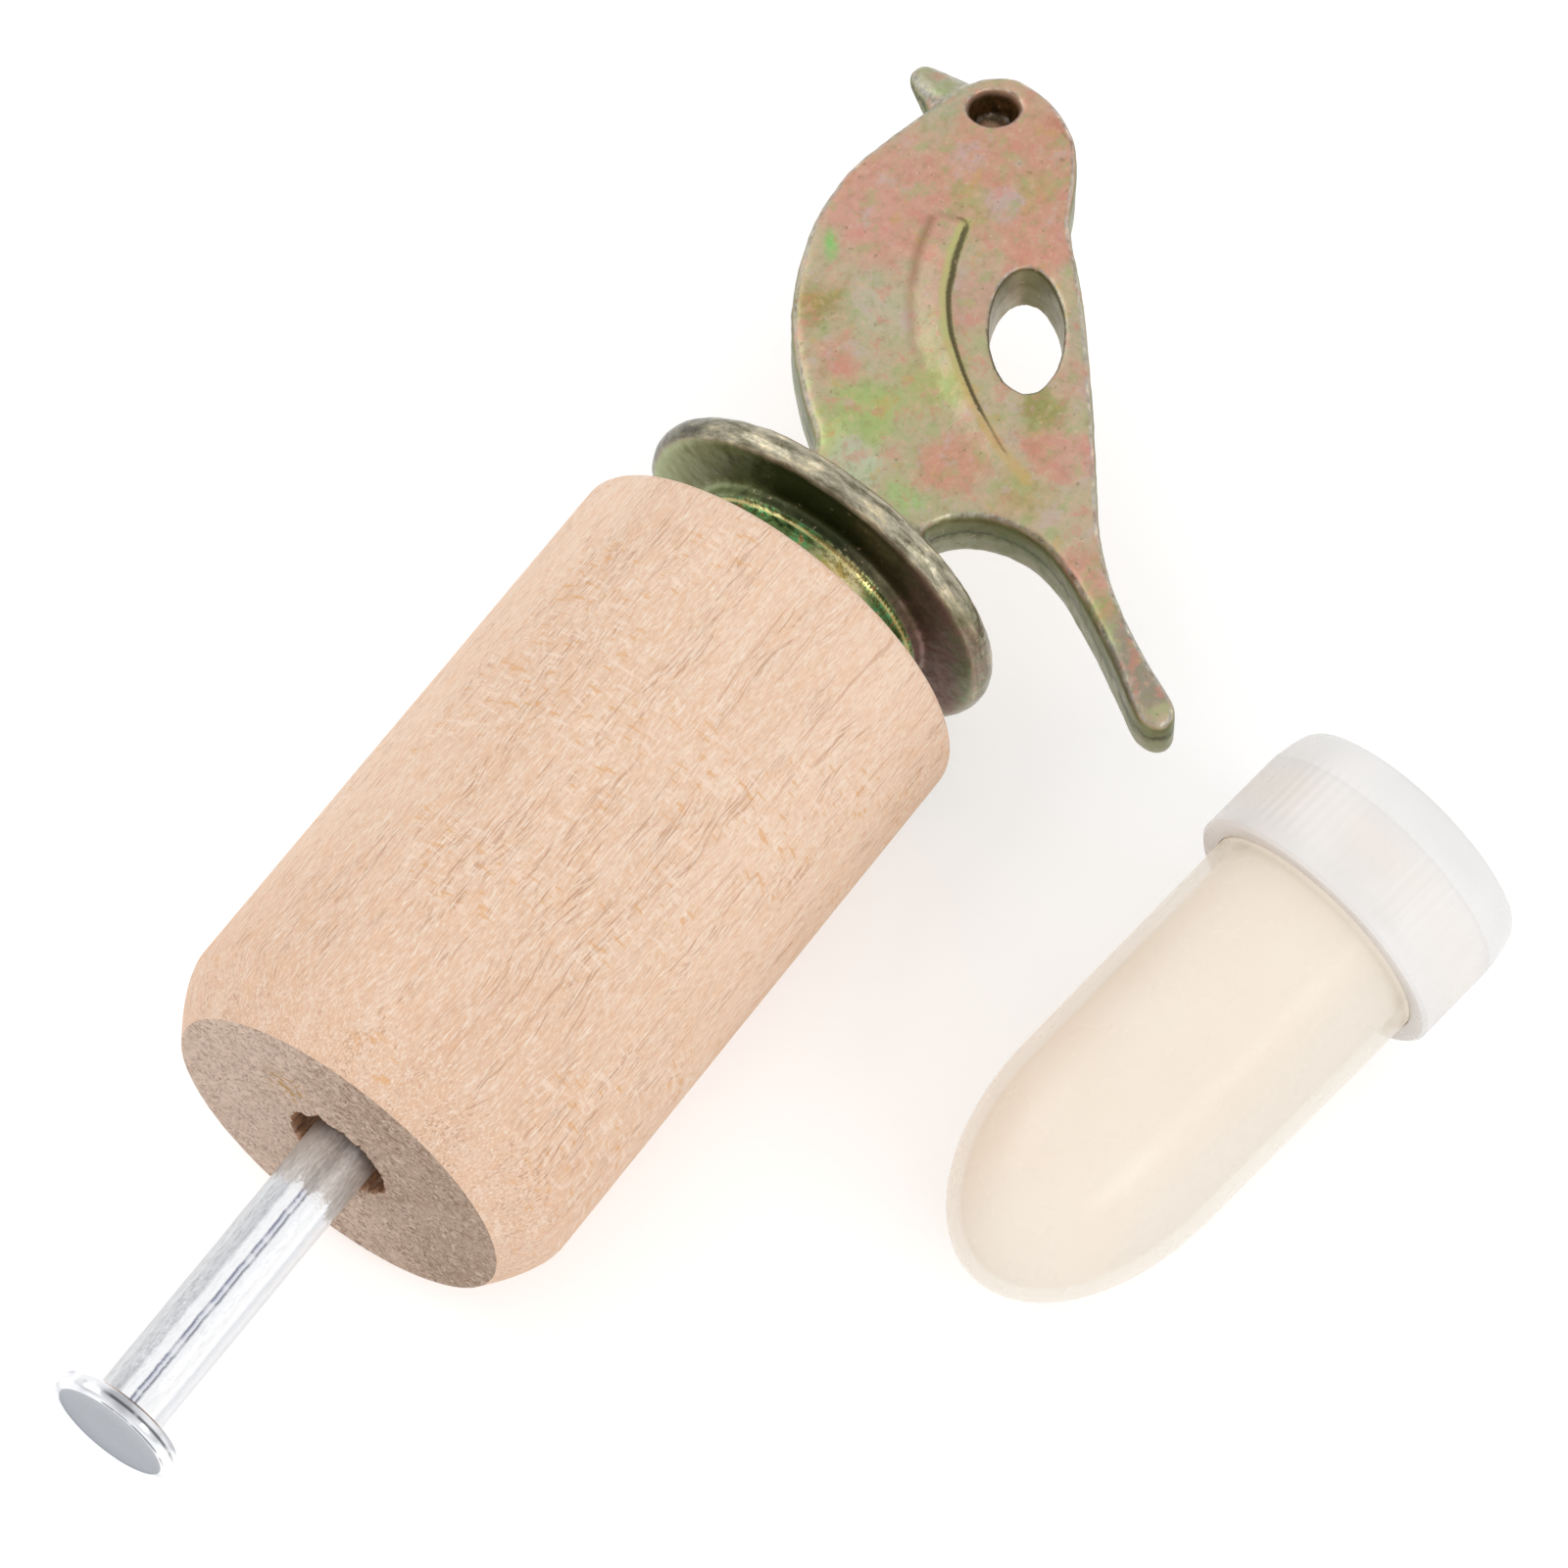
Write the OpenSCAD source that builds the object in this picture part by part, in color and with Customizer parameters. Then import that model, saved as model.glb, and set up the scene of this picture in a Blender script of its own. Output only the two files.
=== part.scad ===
// Twist bird call with its vial of rosin, lying on a table.
// The call's own axis is the X axis, with the bird towards +X, and the origin is the middle of the barrel.

/* [Barrel] */
// Outside diameter of the wooden barrel
barrel_d = 25; // [20:0.5:32]
// Length of the barrel
barrel_len = 39.5; // [34:0.5:60]
// Length of the rounded chamfer on the near end
near_bevel_len = 3.8; // [1:0.1:6]
// How far that chamfer comes in at the near face
near_bevel_drop = 1.9; // [0.5:0.1:3]
// Radius on the edge next to the bird
far_edge_r = 0.7; // [0.3:0.1:1.5]
// Depth of the bore that takes the plug
plug_bore_depth = 20.5; // [20.2:0.1:26]
// Diameter of the hole that the retaining pin runs in
pin_hole_d = 6.3; // [5:0.1:7]
// Broken edge round that hole
pin_hole_edge = 0.35; // [0.1:0.05:0.8]

/* [Plug and flange] */
// Diameter of the metal plug that squeaks in the bore
plug_d = 14.7; // [12:0.1:15]
// Length of the plug below its shoulder
plug_len = 19; // [14:0.5:20]
// Bevel on the plug's inner end
plug_bevel = 0.7; // [0.2:0.1:1.5]
// Radial clearance between the plug and its bore
plug_clear = 0.05; // [0.02:0.01:0.1]
// Diameter of the turned shoulder that stops on the wood
shoulder_d = 15.2; // [15.1:0.1:18]
// Height of that shoulder
shoulder_h = 0.9; // [0.2:0.1:1.5]
// Gap that stands open between the shoulder and the wood
stand_off = 2.95; // [0.5:0.05:6]
// Diameter of the flange over its round rim
flange_d = 22.9; // [20:0.1:28]
// Thickness of the round rim
rim_t = 1.9; // [1:0.1:3]
// Rise of the flange's shallow dome towards the bird
dome_h = 1.7; // [0.5:0.1:2.5]

/* [Bird] */
// Height of the bird above the flange's rim
bird_rise = 30.6; // [29:0.2:36]
// Reach of the tail to the side of the axis
tail_reach = 22; // [20.5:0.5:26]
// Thickness of the cast plate
plate_t = 4.45; // [3.5:0.05:6]
// Rounding of the plate's edges
plate_edge_r = 0.7; // [0.3:0.05:0.7]
// Fillet round the bird's foot
foot_fillet = 3.2; // [1.5:0.1:3.4]
// Length of the oval hole
oval_len = 8.1; // [5:0.1:9]
// Width of the oval hole
oval_w = 4.2; // [3:0.1:5]
// Diameter of an eye at its mouth
eye_d = 3; // [2:0.1:3.4]
// Diameter of an eye at its floor
eye_floor_d = 1.7; // [1:0.1:1.9]
// Depth of an eye
eye_depth = 2; // [0.5:0.1:2.1]
// Height of a wing's crest above the plate
wing_h = 0.6; // [0.2:0.05:1]
// Width of a wing's raised band
wing_w = 2.2; // [0.8:0.1:2.4]
// Radius of the beak at its root
beak_root_r = 1.95; // [1.2:0.05:2.1]
// Radius of the beak at its tip
beak_tip_r = 0.9; // [0.5:0.05:1.1]

/* [Retaining pin] */
// Diameter of the pin
pin_d = 4.1; // [3:0.1:4.8]
// Diameter of its flat head
pin_head_d = 7.7; // [7.2:0.1:10]
// Thickness of the head
pin_head_t = 1.1; // [0.6:0.1:2]
// Rounding of the head's rim
pin_head_r = 0.38; // [0.1:0.02:0.5]
// Length of pin that stands out of the near end, under the head
pin_show = 18.9; // [8:0.1:19]
// Depth of the pin's socket in the plug
socket_depth = 8; // [4:0.5:12]
// Radial clearance of the pin in that socket
socket_clear = 0.05; // [0.02:0.01:0.1]

/* [Vial] */
// Diameter of the tube where its dome begins
tube_d = 13.95; // [11:0.05:14.2]
// Diameter of the tube just below the cap
tube_top_d = 14.2; // [13.9:0.05:14.4]
// Wall of the tube
tube_wall = 0.75; // [0.5:0.05:1]
// Length of the domed end
dome_len = 11.4; // [7:0.1:12]
// Length from the dome to the edge of the cap's skirt
tube_len = 15.8; // [12:0.1:30]
// Height of the neck's rim above the edge of the cap's skirt
neck_h = 6.1; // [5.8:0.1:6.4]
// Length of the cap
cap_len = 7.9; // [7.8:0.1:14]
// Length of the bevel round the top of the cap
cap_bevel_len = 2.3; // [0.5:0.1:2.5]
// How far that bevel comes in
cap_bevel_drop = 0.4; // [0.2:0.1:1.2]
// Wall of the cap's skirt
cap_wall = 0.9; // [0.75:0.05:1]
// Radial clearance of the cap's skirt over the tube
skirt_clear = 0.3; // [0.25:0.05:0.4]
// Thickness of the cap's sealing disc
liner_t = 0.8; // [0.5:0.05:1]
// Lead of the screw thread
thread_pitch = 2; // [1.6:0.1:2.4]
// Turns of the screw thread
thread_turns = 1.6; // [1:0.1:1.6]
// Height of a thread ridge
thread_h = 0.65; // [0.5:0.05:0.65]
// Radial clearance over the crest of a thread
thread_clear = 0.3; // [0.25:0.05:0.4]
// Width of a thread ridge at its root
thread_w = 0.8; // [0.6:0.02:0.85]
// Distance along the call from the barrel's middle to the start of the vial's tube
vial_x = 8.15; // [-10:0.05:30]
// Distance of the vial to the side of the call's axis
vial_y = -31.7; // [-60:0.1:-31]
// Turn of the vial against the call
vial_turn = -7.7; // [-20:0.1:10]

/* [Hidden] */

// Overrun of cuts past the faces that they open
over = 1;
// Gap between pieces that lie against each other
lie_gap = 0.05;
// Gap between the rosin and the tube round it
powder_gap = 0.06;
// Gap round the cap's sealing disc
liner_gap = 0.15;
// Broken edges of the cap
cap_edge = 0.3;
// Distance that the tube's shoulder stands inside the skirt
shoulder_in = 0.5;
// How far the rosin stops short of the neck's rim
powder_drop = 2;
// Bevel on the pin's inner end
pin_bevel = 0.5;
// Width of a thread ridge at its crest, as a share of its root
thread_crest_share = 0.5;
// Steps round a turned piece and round one turn of a thread
round_steps = 96;
thread_steps = 30;
// Steps that a thread takes to rise from nothing at each end
thread_fade_steps = 3;
// Steps in the arcs of turned edges, of the plate's edges and of the foot
edge_steps = 5;
plate_edge_steps = 4;
foot_steps = 4;
// Steps in the near chamfer, in the vial's dome and between two points of the bird's outline
bevel_steps = 8;
dome_steps = 14;
spline_steps = 4;
beak_steps = 24;
// How quickly the near chamfer curls in, where 1 is a straight cone
bevel_curl = 1.5;

near_x = -barrel_len / 2;
far_x = barrel_len / 2;
bore_d = plug_d + 2 * plug_clear;
shoulder_x = far_x + stand_off;
flange_x = shoulder_x + shoulder_h;
flange_top_x = flange_x + rim_t;
rim_r = rim_t / 2;
plug_end_x = shoulder_x - plug_len;
head_back_x = near_x - pin_show;
floor_z = -barrel_d / 2;

// The bird's outline, from the breast side of its foot, over the head and back to the tail, then
// under the arch: each point is a share of bird_rise along the axis and of tail_reach across it
outline_shares = [
    [0.08, 0.182], [0.143, 0.194], [0.202, 0.29], [0.294, 0.42], [0.405, 0.52], [0.529, 0.584],
    [0.65, 0.6], [0.761, 0.573], [0.869, 0.534], [0.944, 0.5], [0.99, 0.432], [1.0, 0.355],
    [0.986, 0.264], [0.944, 0.173], [0.872, 0.1], [0.794, 0.041], [0.696, -0.09], [0.565, -0.245],
    [0.425, -0.398], [0.294, -0.541], [0.206, -0.677], [0.14, -0.823], [0.096, -0.937],
    [0.074, -0.983], [0.041, -1.0], [0.018, -0.972], [0.024, -0.91], [0.085, -0.79],
    [0.15, -0.641], [0.197, -0.512], [0.214, -0.4], [0.2, -0.294], [0.164, -0.216],
    [0.12, -0.177], [0.05, -0.14], [0.02, -0.04], [0.03, 0.08]
];
// Half width of the bird's foot, and the place of its middle, as shares of tail_reach
foot_half_share = 0.17;
foot_mid_share = 0.01;
// Place of the oval hole's middle, and its lean
oval_at_share = [0.561, -0.049];
oval_lean = 35.4;
// Place of an eye
eye_at_share = [0.912, 0.399];
// Places of the beak's root and tip
beak_root_share = [0.898, 0.483];
beak_tip_share = [0.922, 0.626];
// Crest of a wing, from its cut end to its tip, and the share of wing_h and wing_w at each point
wing_shares = [
    [0.681, 0.257], [0.606, 0.227], [0.531, 0.177], [0.466, 0.105],
    [0.413, 0.014], [0.364, -0.091], [0.325, -0.2], [0.303, -0.302]
];
wing_height_shares = [0.7, 1, 1, 1, 0.9, 0.75, 0.5, 0.1];
wing_width_shares = [0.8, 0.95, 1, 0.85, 0.7, 0.55, 0.4, 0.12];
// How far the wall under a wing's crest leans out, as a share of the crest's height
wing_wall_share = 0.45;
// Depth that a wing's solid is set into the plate
wing_root = 0.4;

cap_inner_r = tube_top_d / 2 + skirt_clear;
neck_r = cap_inner_r - thread_h - thread_clear;
tube_r = tube_d / 2;
cap_r = cap_inner_r + cap_wall;
skirt_v = dome_len + tube_len;
neck_base_v = skirt_v + shoulder_in;
neck_top_v = skirt_v + neck_h;
liner_v = neck_top_v + lie_gap;
cap_floor_v = liner_v + liner_t + lie_gap;
cap_top_v = skirt_v + cap_len;
powder_top_v = neck_top_v - powder_drop;
// Height of the first thread above the neck's base, and the turn that sets the cap's thread in the gap
thread_start_v = neck_base_v + thread_w;
thread_offset_turn = 180;
// The vial lies on its dome and on the edge of its cap, which fixes how far its axis tips up
lie_a = tube_len * tube_len - dome_len * dome_len;
lie_b = cap_r * tube_len;
lie_c = cap_r * cap_r - tube_r * tube_r;
vial_tip = atan((lie_b - sqrt(lie_b * lie_b - lie_a * lie_c)) / lie_a);
vial_rest = sqrt(pow(tube_r * cos(vial_tip), 2) + pow(dome_len * sin(vial_tip), 2));

// Corner points of an outline at a named share of the bird's height and reach
function bird_point(s) = [s[0] * bird_rise, s[1] * tail_reach];
function at(list, i) = list[(i + len(list)) % len(list)];
function backwards(list) = [for (i = [len(list) - 1 : -1 : 0]) list[i]];
// A smooth curve that passes through four points in turn, at a share t of the way from b to c
function curve_point(a, b, c, d, t) =
    (2 * b + (c - a) * t + (2 * a - 5 * b + 4 * c - d) * t * t + (3 * b - a - 3 * c + d) * t * t * t) / 2;
function closed_curve(p, n) = [
    for (i = [0 : len(p) - 1]) for (j = [0 : n - 1])
        curve_point(at(p, i - 1), at(p, i), at(p, i + 1), at(p, i + 2), j / n)
];
// An anticlockwise outline drawn in by a distance, square to itself
function drawn_in(p, d) = [
    for (i = [0 : len(p) - 1])
        let (run = at(p, i + 1) - at(p, i - 1), side = [-run[1], run[0]] / norm(run))
        at(p, i) + side * d
];
// Arc of a rounded edge: how far in, and how far below the top, at each step
function edge_arc(r, n) = [for (i = [0 : n]) [r - r * sin(90 * i / n), r - r * cos(90 * i / n)]];

// A closed skin over rings of equal count. Each ring runs anticlockwise seen from the last ring's side.
module skin(rings) {
    n = len(rings[0]);
    last = len(rings) - 1;
    points = [for (r = rings) each r];
    sides = [
        for (k = [0 : last - 1]) for (i = [0 : n - 1])
            let (a = k * n + i, b = k * n + (i + 1) % n, c = a + n, d = b + n)
            each [[a, c, d], [a, d, b]]
    ];
    foot = [[for (i = [0 : n - 1]) i]];
    top = [[for (i = [n - 1 : -1 : 0]) last * n + i]];
    polyhedron(points = points, faces = concat(foot, sides, top), convexity = 8);
}

// Turns a profile of [along, radius] points round the X axis
module turned(profile) {
    rotate([0, 90, 0]) rotate_extrude($fn = round_steps)
        polygon([for (p = profile) [p[1], p[0]]]);
}

module barrel() {
    bevel = [
        for (i = [0 : bevel_steps])
            let (t = i / bevel_steps)
            [near_x + near_bevel_len * t, barrel_d / 2 - near_bevel_drop * pow(1 - t, bevel_curl)]
    ];
    far_edge = [
        for (i = [0 : edge_steps])
            let (q = 90 * i / edge_steps)
            [far_x - far_edge_r + far_edge_r * sin(q), barrel_d / 2 - far_edge_r + far_edge_r * cos(q)]
    ];
    color("burlywood") turned(concat(
        bevel, far_edge,
        [
            [far_x, bore_d / 2], [far_x - plug_bore_depth, bore_d / 2],
            [far_x - plug_bore_depth, pin_hole_d / 2], [near_x + pin_hole_edge, pin_hole_d / 2],
            [near_x, pin_hole_d / 2 + pin_hole_edge]
        ]
    ));
}

module retaining_pin() {
    front_x = head_back_x - pin_head_t;
    front_arc = [
        for (i = [0 : edge_steps])
            let (q = 90 * i / edge_steps)
            [front_x + pin_head_r - pin_head_r * cos(q), pin_head_d / 2 - pin_head_r + pin_head_r * sin(q)]
    ];
    back_arc = [
        for (i = [0 : edge_steps])
            let (q = 90 * i / edge_steps)
            [head_back_x - pin_head_r + pin_head_r * sin(q), pin_head_d / 2 - pin_head_r + pin_head_r * cos(q)]
    ];
    color("silver") turned(concat(
        [[front_x, 0]], front_arc, back_arc,
        [
            [head_back_x, pin_d / 2], [plug_end_x + socket_depth - pin_bevel - lie_gap, pin_d / 2],
            [plug_end_x + socket_depth - lie_gap, pin_d / 2 - pin_bevel],
            [plug_end_x + socket_depth - lie_gap, 0]
        ]
    ));
}

// The turned part of the casting: plug, shoulder, and flange with its round rim and shallow dome
module plug_and_flange() {
    rim_mid = flange_d / 2 - rim_r;
    rim = [
        for (i = [0 : 2 * edge_steps])
            let (q = 90 * i / edge_steps)
            [flange_x + rim_r - rim_r * cos(q), rim_mid + rim_r * sin(q)]
    ];
    crown_r = foot_half_share * tail_reach + plate_edge_r;
    turned(concat(
        [
            [plug_end_x, 0], [plug_end_x, plug_d / 2 - plug_bevel], [plug_end_x + plug_bevel, plug_d / 2],
            [shoulder_x, plug_d / 2], [shoulder_x, shoulder_d / 2], [flange_x, shoulder_d / 2]
        ],
        rim,
        [[flange_top_x + dome_h, crown_r], [flange_top_x + dome_h, 0]]
    ));
}

// The fillet between the dome and the plate, as rounded rectangles that widen downwards
module bird_foot() {
    half_w = foot_half_share * tail_reach;
    half_t = plate_t / 2 - plate_edge_r / 2;
    function corner(cx, cy, r, from) = [
        for (i = [0 : foot_steps])
            let (q = from + 90 * i / foot_steps)
            [cx + r * cos(q), cy + r * sin(q)]
    ];
    function foot_ring(x, grow) =
        let (r = plate_edge_r + grow, w = half_w + grow - r, t = half_t + grow - r)
        [
            for (p = concat(
                corner(w, t, r, 0), corner(-w, t, r, 90), corner(-w, -t, r, 180), corner(w, -t, r, 270)
            )) [x, p[0] + foot_mid_share * tail_reach, p[1]]
        ];
    levels = [
        for (i = [0 : foot_steps])
            let (q = 90 * i / foot_steps)
            [dome_h + foot_fillet - foot_fillet * cos(q), foot_fillet - foot_fillet * sin(q)]
    ];
    rings = concat(
        [foot_ring(flange_top_x, foot_fillet)],
        [for (s = levels) foot_ring(flange_top_x + s[0], s[1])]
    );
    skin(rings);
}

// The plate: slabs of the outline, each one thicker and drawn in further than the last, for its rounded edges
module bird_plate() {
    line = backwards(closed_curve([for (s = outline_shares) bird_point(s)], spline_steps));
    translate([flange_top_x, 0, 0]) for (e = edge_arc(plate_edge_r, plate_edge_steps))
        translate([0, 0, e[1] - plate_t / 2]) linear_extrude(height = plate_t - 2 * e[1])
            polygon(drawn_in(line, e[0]));
}

module beak() {
    root = bird_point(beak_root_share);
    tip = bird_point(beak_tip_share);
    translate([flange_top_x, 0, 0]) hull() {
        translate([root[0], root[1], 0]) sphere(r = beak_root_r, $fn = beak_steps);
        translate([tip[0], tip[1], 0]) sphere(r = beak_tip_r, $fn = beak_steps);
    }
}

// A raised crescent: a soft slope up to the crest on the breast side and a steep wall on the other
module wing() {
    crest = [for (s = wing_shares) bird_point(s)];
    n = len(crest);
    function side(i) =
        let (run = crest[min(i + 1, n - 1)] - crest[max(i - 1, 0)])
        [-run[1], run[0]] / norm(run);
    rings = [
        for (i = [0 : n - 1])
            let (
                c = crest[i], out = -side(i), h = wing_h * wing_height_shares[i],
                w = wing_w * wing_width_shares[i], face = plate_t / 2,
                far = c + out * w, under = c - out * h * wing_wall_share
            )
            [
                [under[0], under[1], face - wing_root], [under[0], under[1], face + lie_gap],
                [c[0], c[1], face + h],
                [far[0], far[1], face + lie_gap], [far[0], far[1], face - wing_root]
            ]
    ];
    translate([flange_top_x, 0, 0]) skin(rings);
}

module oval_hole() {
    p = bird_point(oval_at_share);
    ellipse = [
        for (i = [0 : round_steps / 2 - 1])
            let (q = 720 * i / round_steps)
            [oval_len / 2 * cos(q), oval_w / 2 * sin(q)]
    ];
    translate([flange_top_x + p[0], p[1], -plate_t]) rotate([0, 0, oval_lean])
        linear_extrude(height = 2 * plate_t) polygon(ellipse);
}

module eye() {
    p = bird_point(eye_at_share);
    slope = (eye_d - eye_floor_d) / 2 / eye_depth;
    translate([flange_top_x + p[0], p[1], plate_t / 2 - eye_depth]) cylinder(
        h = eye_depth + over, r1 = eye_floor_d / 2, r2 = eye_d / 2 + over * slope, $fn = round_steps
    );
}

module pin_socket() {
    translate([plug_end_x - over, 0, 0]) rotate([0, 90, 0])
        cylinder(h = socket_depth + over, d = pin_d + 2 * socket_clear, $fn = round_steps);
}

module bird_handle() {
    color("darkkhaki") union() {
        difference() {
            plug_and_flange();
            pin_socket();
        }
        bird_foot();
        difference() {
            union() {
                bird_plate();
                beak();
                wing();
                mirror([0, 0, 1]) wing();
            }
            oval_hole();
            eye();
            mirror([0, 0, 1]) eye();
        }
    }
}

// Puts a piece drawn along the vial's own axis, from the tip of its dome, where the vial lies
module vial_place() {
    translate([vial_x, vial_y, floor_z + vial_rest]) rotate([0, 0, vial_turn]) rotate([0, -vial_tip, 0])
        translate([-dome_len, 0, 0]) children();
}

function dome_profile(len, r, start) = [
    for (i = [0 : dome_steps])
        let (q = 90 * i / dome_steps)
        [start + len - len * cos(q), r * sin(q)]
];

// One ridge of a screw thread. side is 1 where it stands out of a neck and -1 where it stands into a cap.
module thread_ridge(root_r, start_v, side, first_turn) {
    steps = ceil(thread_turns * thread_steps);
    half = thread_w / 2;
    crest = half * thread_crest_share;
    rings = [
        for (i = [0 : steps])
            let (
                q = first_turn + 360 * i / thread_steps, v = start_v + thread_pitch * i / thread_steps,
                h = thread_h * min(1, (i + 1) / thread_fade_steps, (steps - i + 1) / thread_fade_steps),
                back = root_r - side * lie_gap, tip = root_r + side * h
            )
            [
                for (p = side > 0
                    ? [[back, half], [tip, crest], [tip, -crest], [back, -half]]
                    : [[back, -half], [tip, -crest], [tip, crest], [back, half]])
                    [v + p[1], p[0] * cos(q), p[0] * sin(q)]
            ]
    ];
    skin(rings);
}

module vial_tube() {
    inner_r = tube_r - tube_wall;
    inner_top_r = tube_top_d / 2 - tube_wall;
    neck_in_r = neck_r - tube_wall;
    color("ghostwhite", 0.6) vial_place() {
        turned(concat(
            dome_profile(dome_len, tube_r, 0),
            [
                [neck_base_v, tube_top_d / 2], [neck_base_v, neck_r], [neck_top_v, neck_r],
                [neck_top_v, neck_in_r], [neck_base_v, neck_in_r],
                [neck_base_v - tube_wall, inner_top_r]
            ],
            [for (i = [dome_steps : -1 : 0]) dome_profile(dome_len - tube_wall, inner_r, tube_wall)[i]]
        ));
        thread_ridge(neck_r, thread_start_v, 1, 0);
    }
}

module vial_cap() {
    color("white", 0.75) vial_place() {
        turned([
            [skirt_v, cap_inner_r], [skirt_v, cap_r - cap_edge], [skirt_v + cap_edge, cap_r],
            [cap_top_v - cap_bevel_len, cap_r], [cap_top_v - cap_edge, cap_r - cap_bevel_drop],
            [cap_top_v, cap_r - cap_bevel_drop - cap_edge], [cap_top_v, 0],
            [cap_floor_v, 0], [cap_floor_v, cap_inner_r]
        ]);
        thread_ridge(cap_inner_r, thread_start_v, -1, thread_offset_turn);
    }
}

module cap_liner() {
    color("gainsboro") vial_place()
        translate([liner_v, 0, 0]) rotate([0, 90, 0])
            cylinder(h = liner_t, r = cap_inner_r - liner_gap, $fn = round_steps);
}

module rosin_powder() {
    shell = tube_wall + powder_gap;
    color("wheat") vial_place() turned(concat(
        dome_profile(dome_len - shell, tube_r - shell, shell),
        [
            [neck_base_v - shell, tube_top_d / 2 - shell], [neck_base_v - powder_gap, neck_r - shell],
            [powder_top_v, neck_r - shell], [powder_top_v, 0]
        ]
    ));
}

barrel();
retaining_pin();
bird_handle();
vial_tube();
vial_cap();
cap_liner();
rosin_powder();
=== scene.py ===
import math

import bpy
from mathutils import Matrix, Vector, noise


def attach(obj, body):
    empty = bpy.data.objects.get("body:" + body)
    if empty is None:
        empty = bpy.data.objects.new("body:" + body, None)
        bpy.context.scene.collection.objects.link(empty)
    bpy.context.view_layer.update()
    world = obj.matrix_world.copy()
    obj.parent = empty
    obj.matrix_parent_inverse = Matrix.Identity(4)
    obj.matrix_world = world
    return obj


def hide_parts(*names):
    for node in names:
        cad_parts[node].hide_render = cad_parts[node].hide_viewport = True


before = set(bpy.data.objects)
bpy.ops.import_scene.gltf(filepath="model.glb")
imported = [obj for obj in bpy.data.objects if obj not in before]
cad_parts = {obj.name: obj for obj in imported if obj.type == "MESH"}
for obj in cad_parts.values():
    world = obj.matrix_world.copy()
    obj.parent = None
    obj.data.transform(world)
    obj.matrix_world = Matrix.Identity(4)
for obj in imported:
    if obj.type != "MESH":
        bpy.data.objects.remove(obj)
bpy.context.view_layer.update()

MM = 0.001
FLOOR_Z = -12.5 * MM

# The call's sizes along its axis, in millimetres
NEAR_X, FAR_X = -19.75, 19.75
WOOD_R = 12.5
NEAR_BEVEL, NEAR_DROP = 3.8, 1.9
FAR_EDGE = 0.7
BORE_R, BORE_DEPTH = 7.4, 20.5
PIN_HOLE_R = 3.15
TORN_LEN = 2.3
PIN_R, PIN_END_X, SCUFFED_X = 2.05, 11.65, -22.7
HEAD_R, HEAD_X, HEAD_UNDER_X, HEAD_EDGE = 3.85, -39.75, -38.65, 0.38
PLUG_CLEAR_R, RUBBED_X = 7.33, 18.2
SHOULDER_X, SHOULDER_R = 22.7, 7.6
FLANGE_X, FLANGE_TOP_X, FLANGE_R = 23.6, 25.5, 11.45
BIRD_RISE, TAIL_REACH = 30.6, 22.0
PLATE_HALF = 2.225

# Places on the bird-shaped plate, and how far from them their marks reach
EYE = Vector((FLANGE_TOP_X + 0.912 * BIRD_RISE, 0.399 * TAIL_REACH))
OVAL = Vector((FLANGE_TOP_X + 0.561 * BIRD_RISE, -0.049 * TAIL_REACH))
WING_CREST = [Vector((FLANGE_TOP_X + a * BIRD_RISE, b * TAIL_REACH)) for a, b in (
    (0.681, 0.257), (0.606, 0.227), (0.531, 0.177), (0.466, 0.105),
    (0.413, 0.014), (0.364, -0.091), (0.325, -0.2), (0.303, -0.302))]
EYE_REACH, OVAL_REACH, WING_REACH = 1.75, 4.6, 2.8
BIRD_NECK_X = 50.0
EYE_WIDER, EYE_LOWER, EYE_SHIFT = 1.09, 0.86, 0.12
TAIL_SHORTER, TAIL_THINNER = Vector((0.365, 0.264, 0)), 0.2

# The vial's own sizes, from the tip of its dome
TUBE_R, TUBE_TOP_R, TUBE_WALL = 6.975, 7.1, 0.75
TUBE_MID_V, TUBE_MID_R = 17, 7.02
DOME_LEN = 11.4
NECK_BASE_V, NECK_TOP_V, NECK_R = 27.7, 33.3, 6.45
POWDER_TOP_V, POWDER_GAP = 31.3, 0.08
SKIRT_V, CAP_R, CAP_BORE_R = 27.2, 8.3, 7.4
CAP_BEVEL_V, CAP_FLOOR_V, CAP_TOP_V = 32.8, 34.2, 35.1
RIBS, RIB_HEIGHT = 72, 0.06
LINER_V, LINER_R = (33.35, 34.15), 7.25
THREAD_V, THREAD_LEAD, THREAD_TURNS, THREAD_DEPTH = 28.5, 2.0, 1.6, 0.38
VIAL_TIP, VIAL_REST, VIAL_TURN = 4.57929, 7.012054, -7.7
VIAL_AT = (8.15, -31.7)
VIAL_SEAT = Vector((VIAL_AT[0] * MM, VIAL_AT[1] * MM, FLOOR_Z + VIAL_REST * MM))
VIAL = (
    Matrix.Translation(VIAL_SEAT)
    @ Matrix.Rotation(math.radians(VIAL_TURN), 4, "Z")
    @ Matrix.Rotation(math.radians(-VIAL_TIP), 4, "Y")
    @ Matrix.Translation(Vector((-DOME_LEN, 0, 0)) * MM)
)

# The camera's place in metres and its three directions
CAMERA_AT, CAMERA_LENS = (-0.17594, -0.14273, 0.44789), 211.5
CAMERA_RIGHT = Vector((0.58679, -0.80974, 0))
CAMERA_UP = Vector((0.71860, 0.52074, 0.46092))
CAMERA_BACK = Vector((-0.37323, -0.27046, 0.88744))

# Each lamp's name, place and size in metres, and power in watts
LAMPS = (
    ("strip_light", Vector((-0.13, -0.56, 0.38)), (0.5, 0.14), 0.9),
    ("side_light", Vector((-0.1, 0.55, 0.45)), (0.5, 0.4), 0.85),
)
LAMP_AIM = Vector((0.008, -0.012, 0))
SKY_LIGHT, FLOOR_GLOW, FLOOR_WHITE = 0.8, 0.38, 0.86


# Modelling helpers

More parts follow.
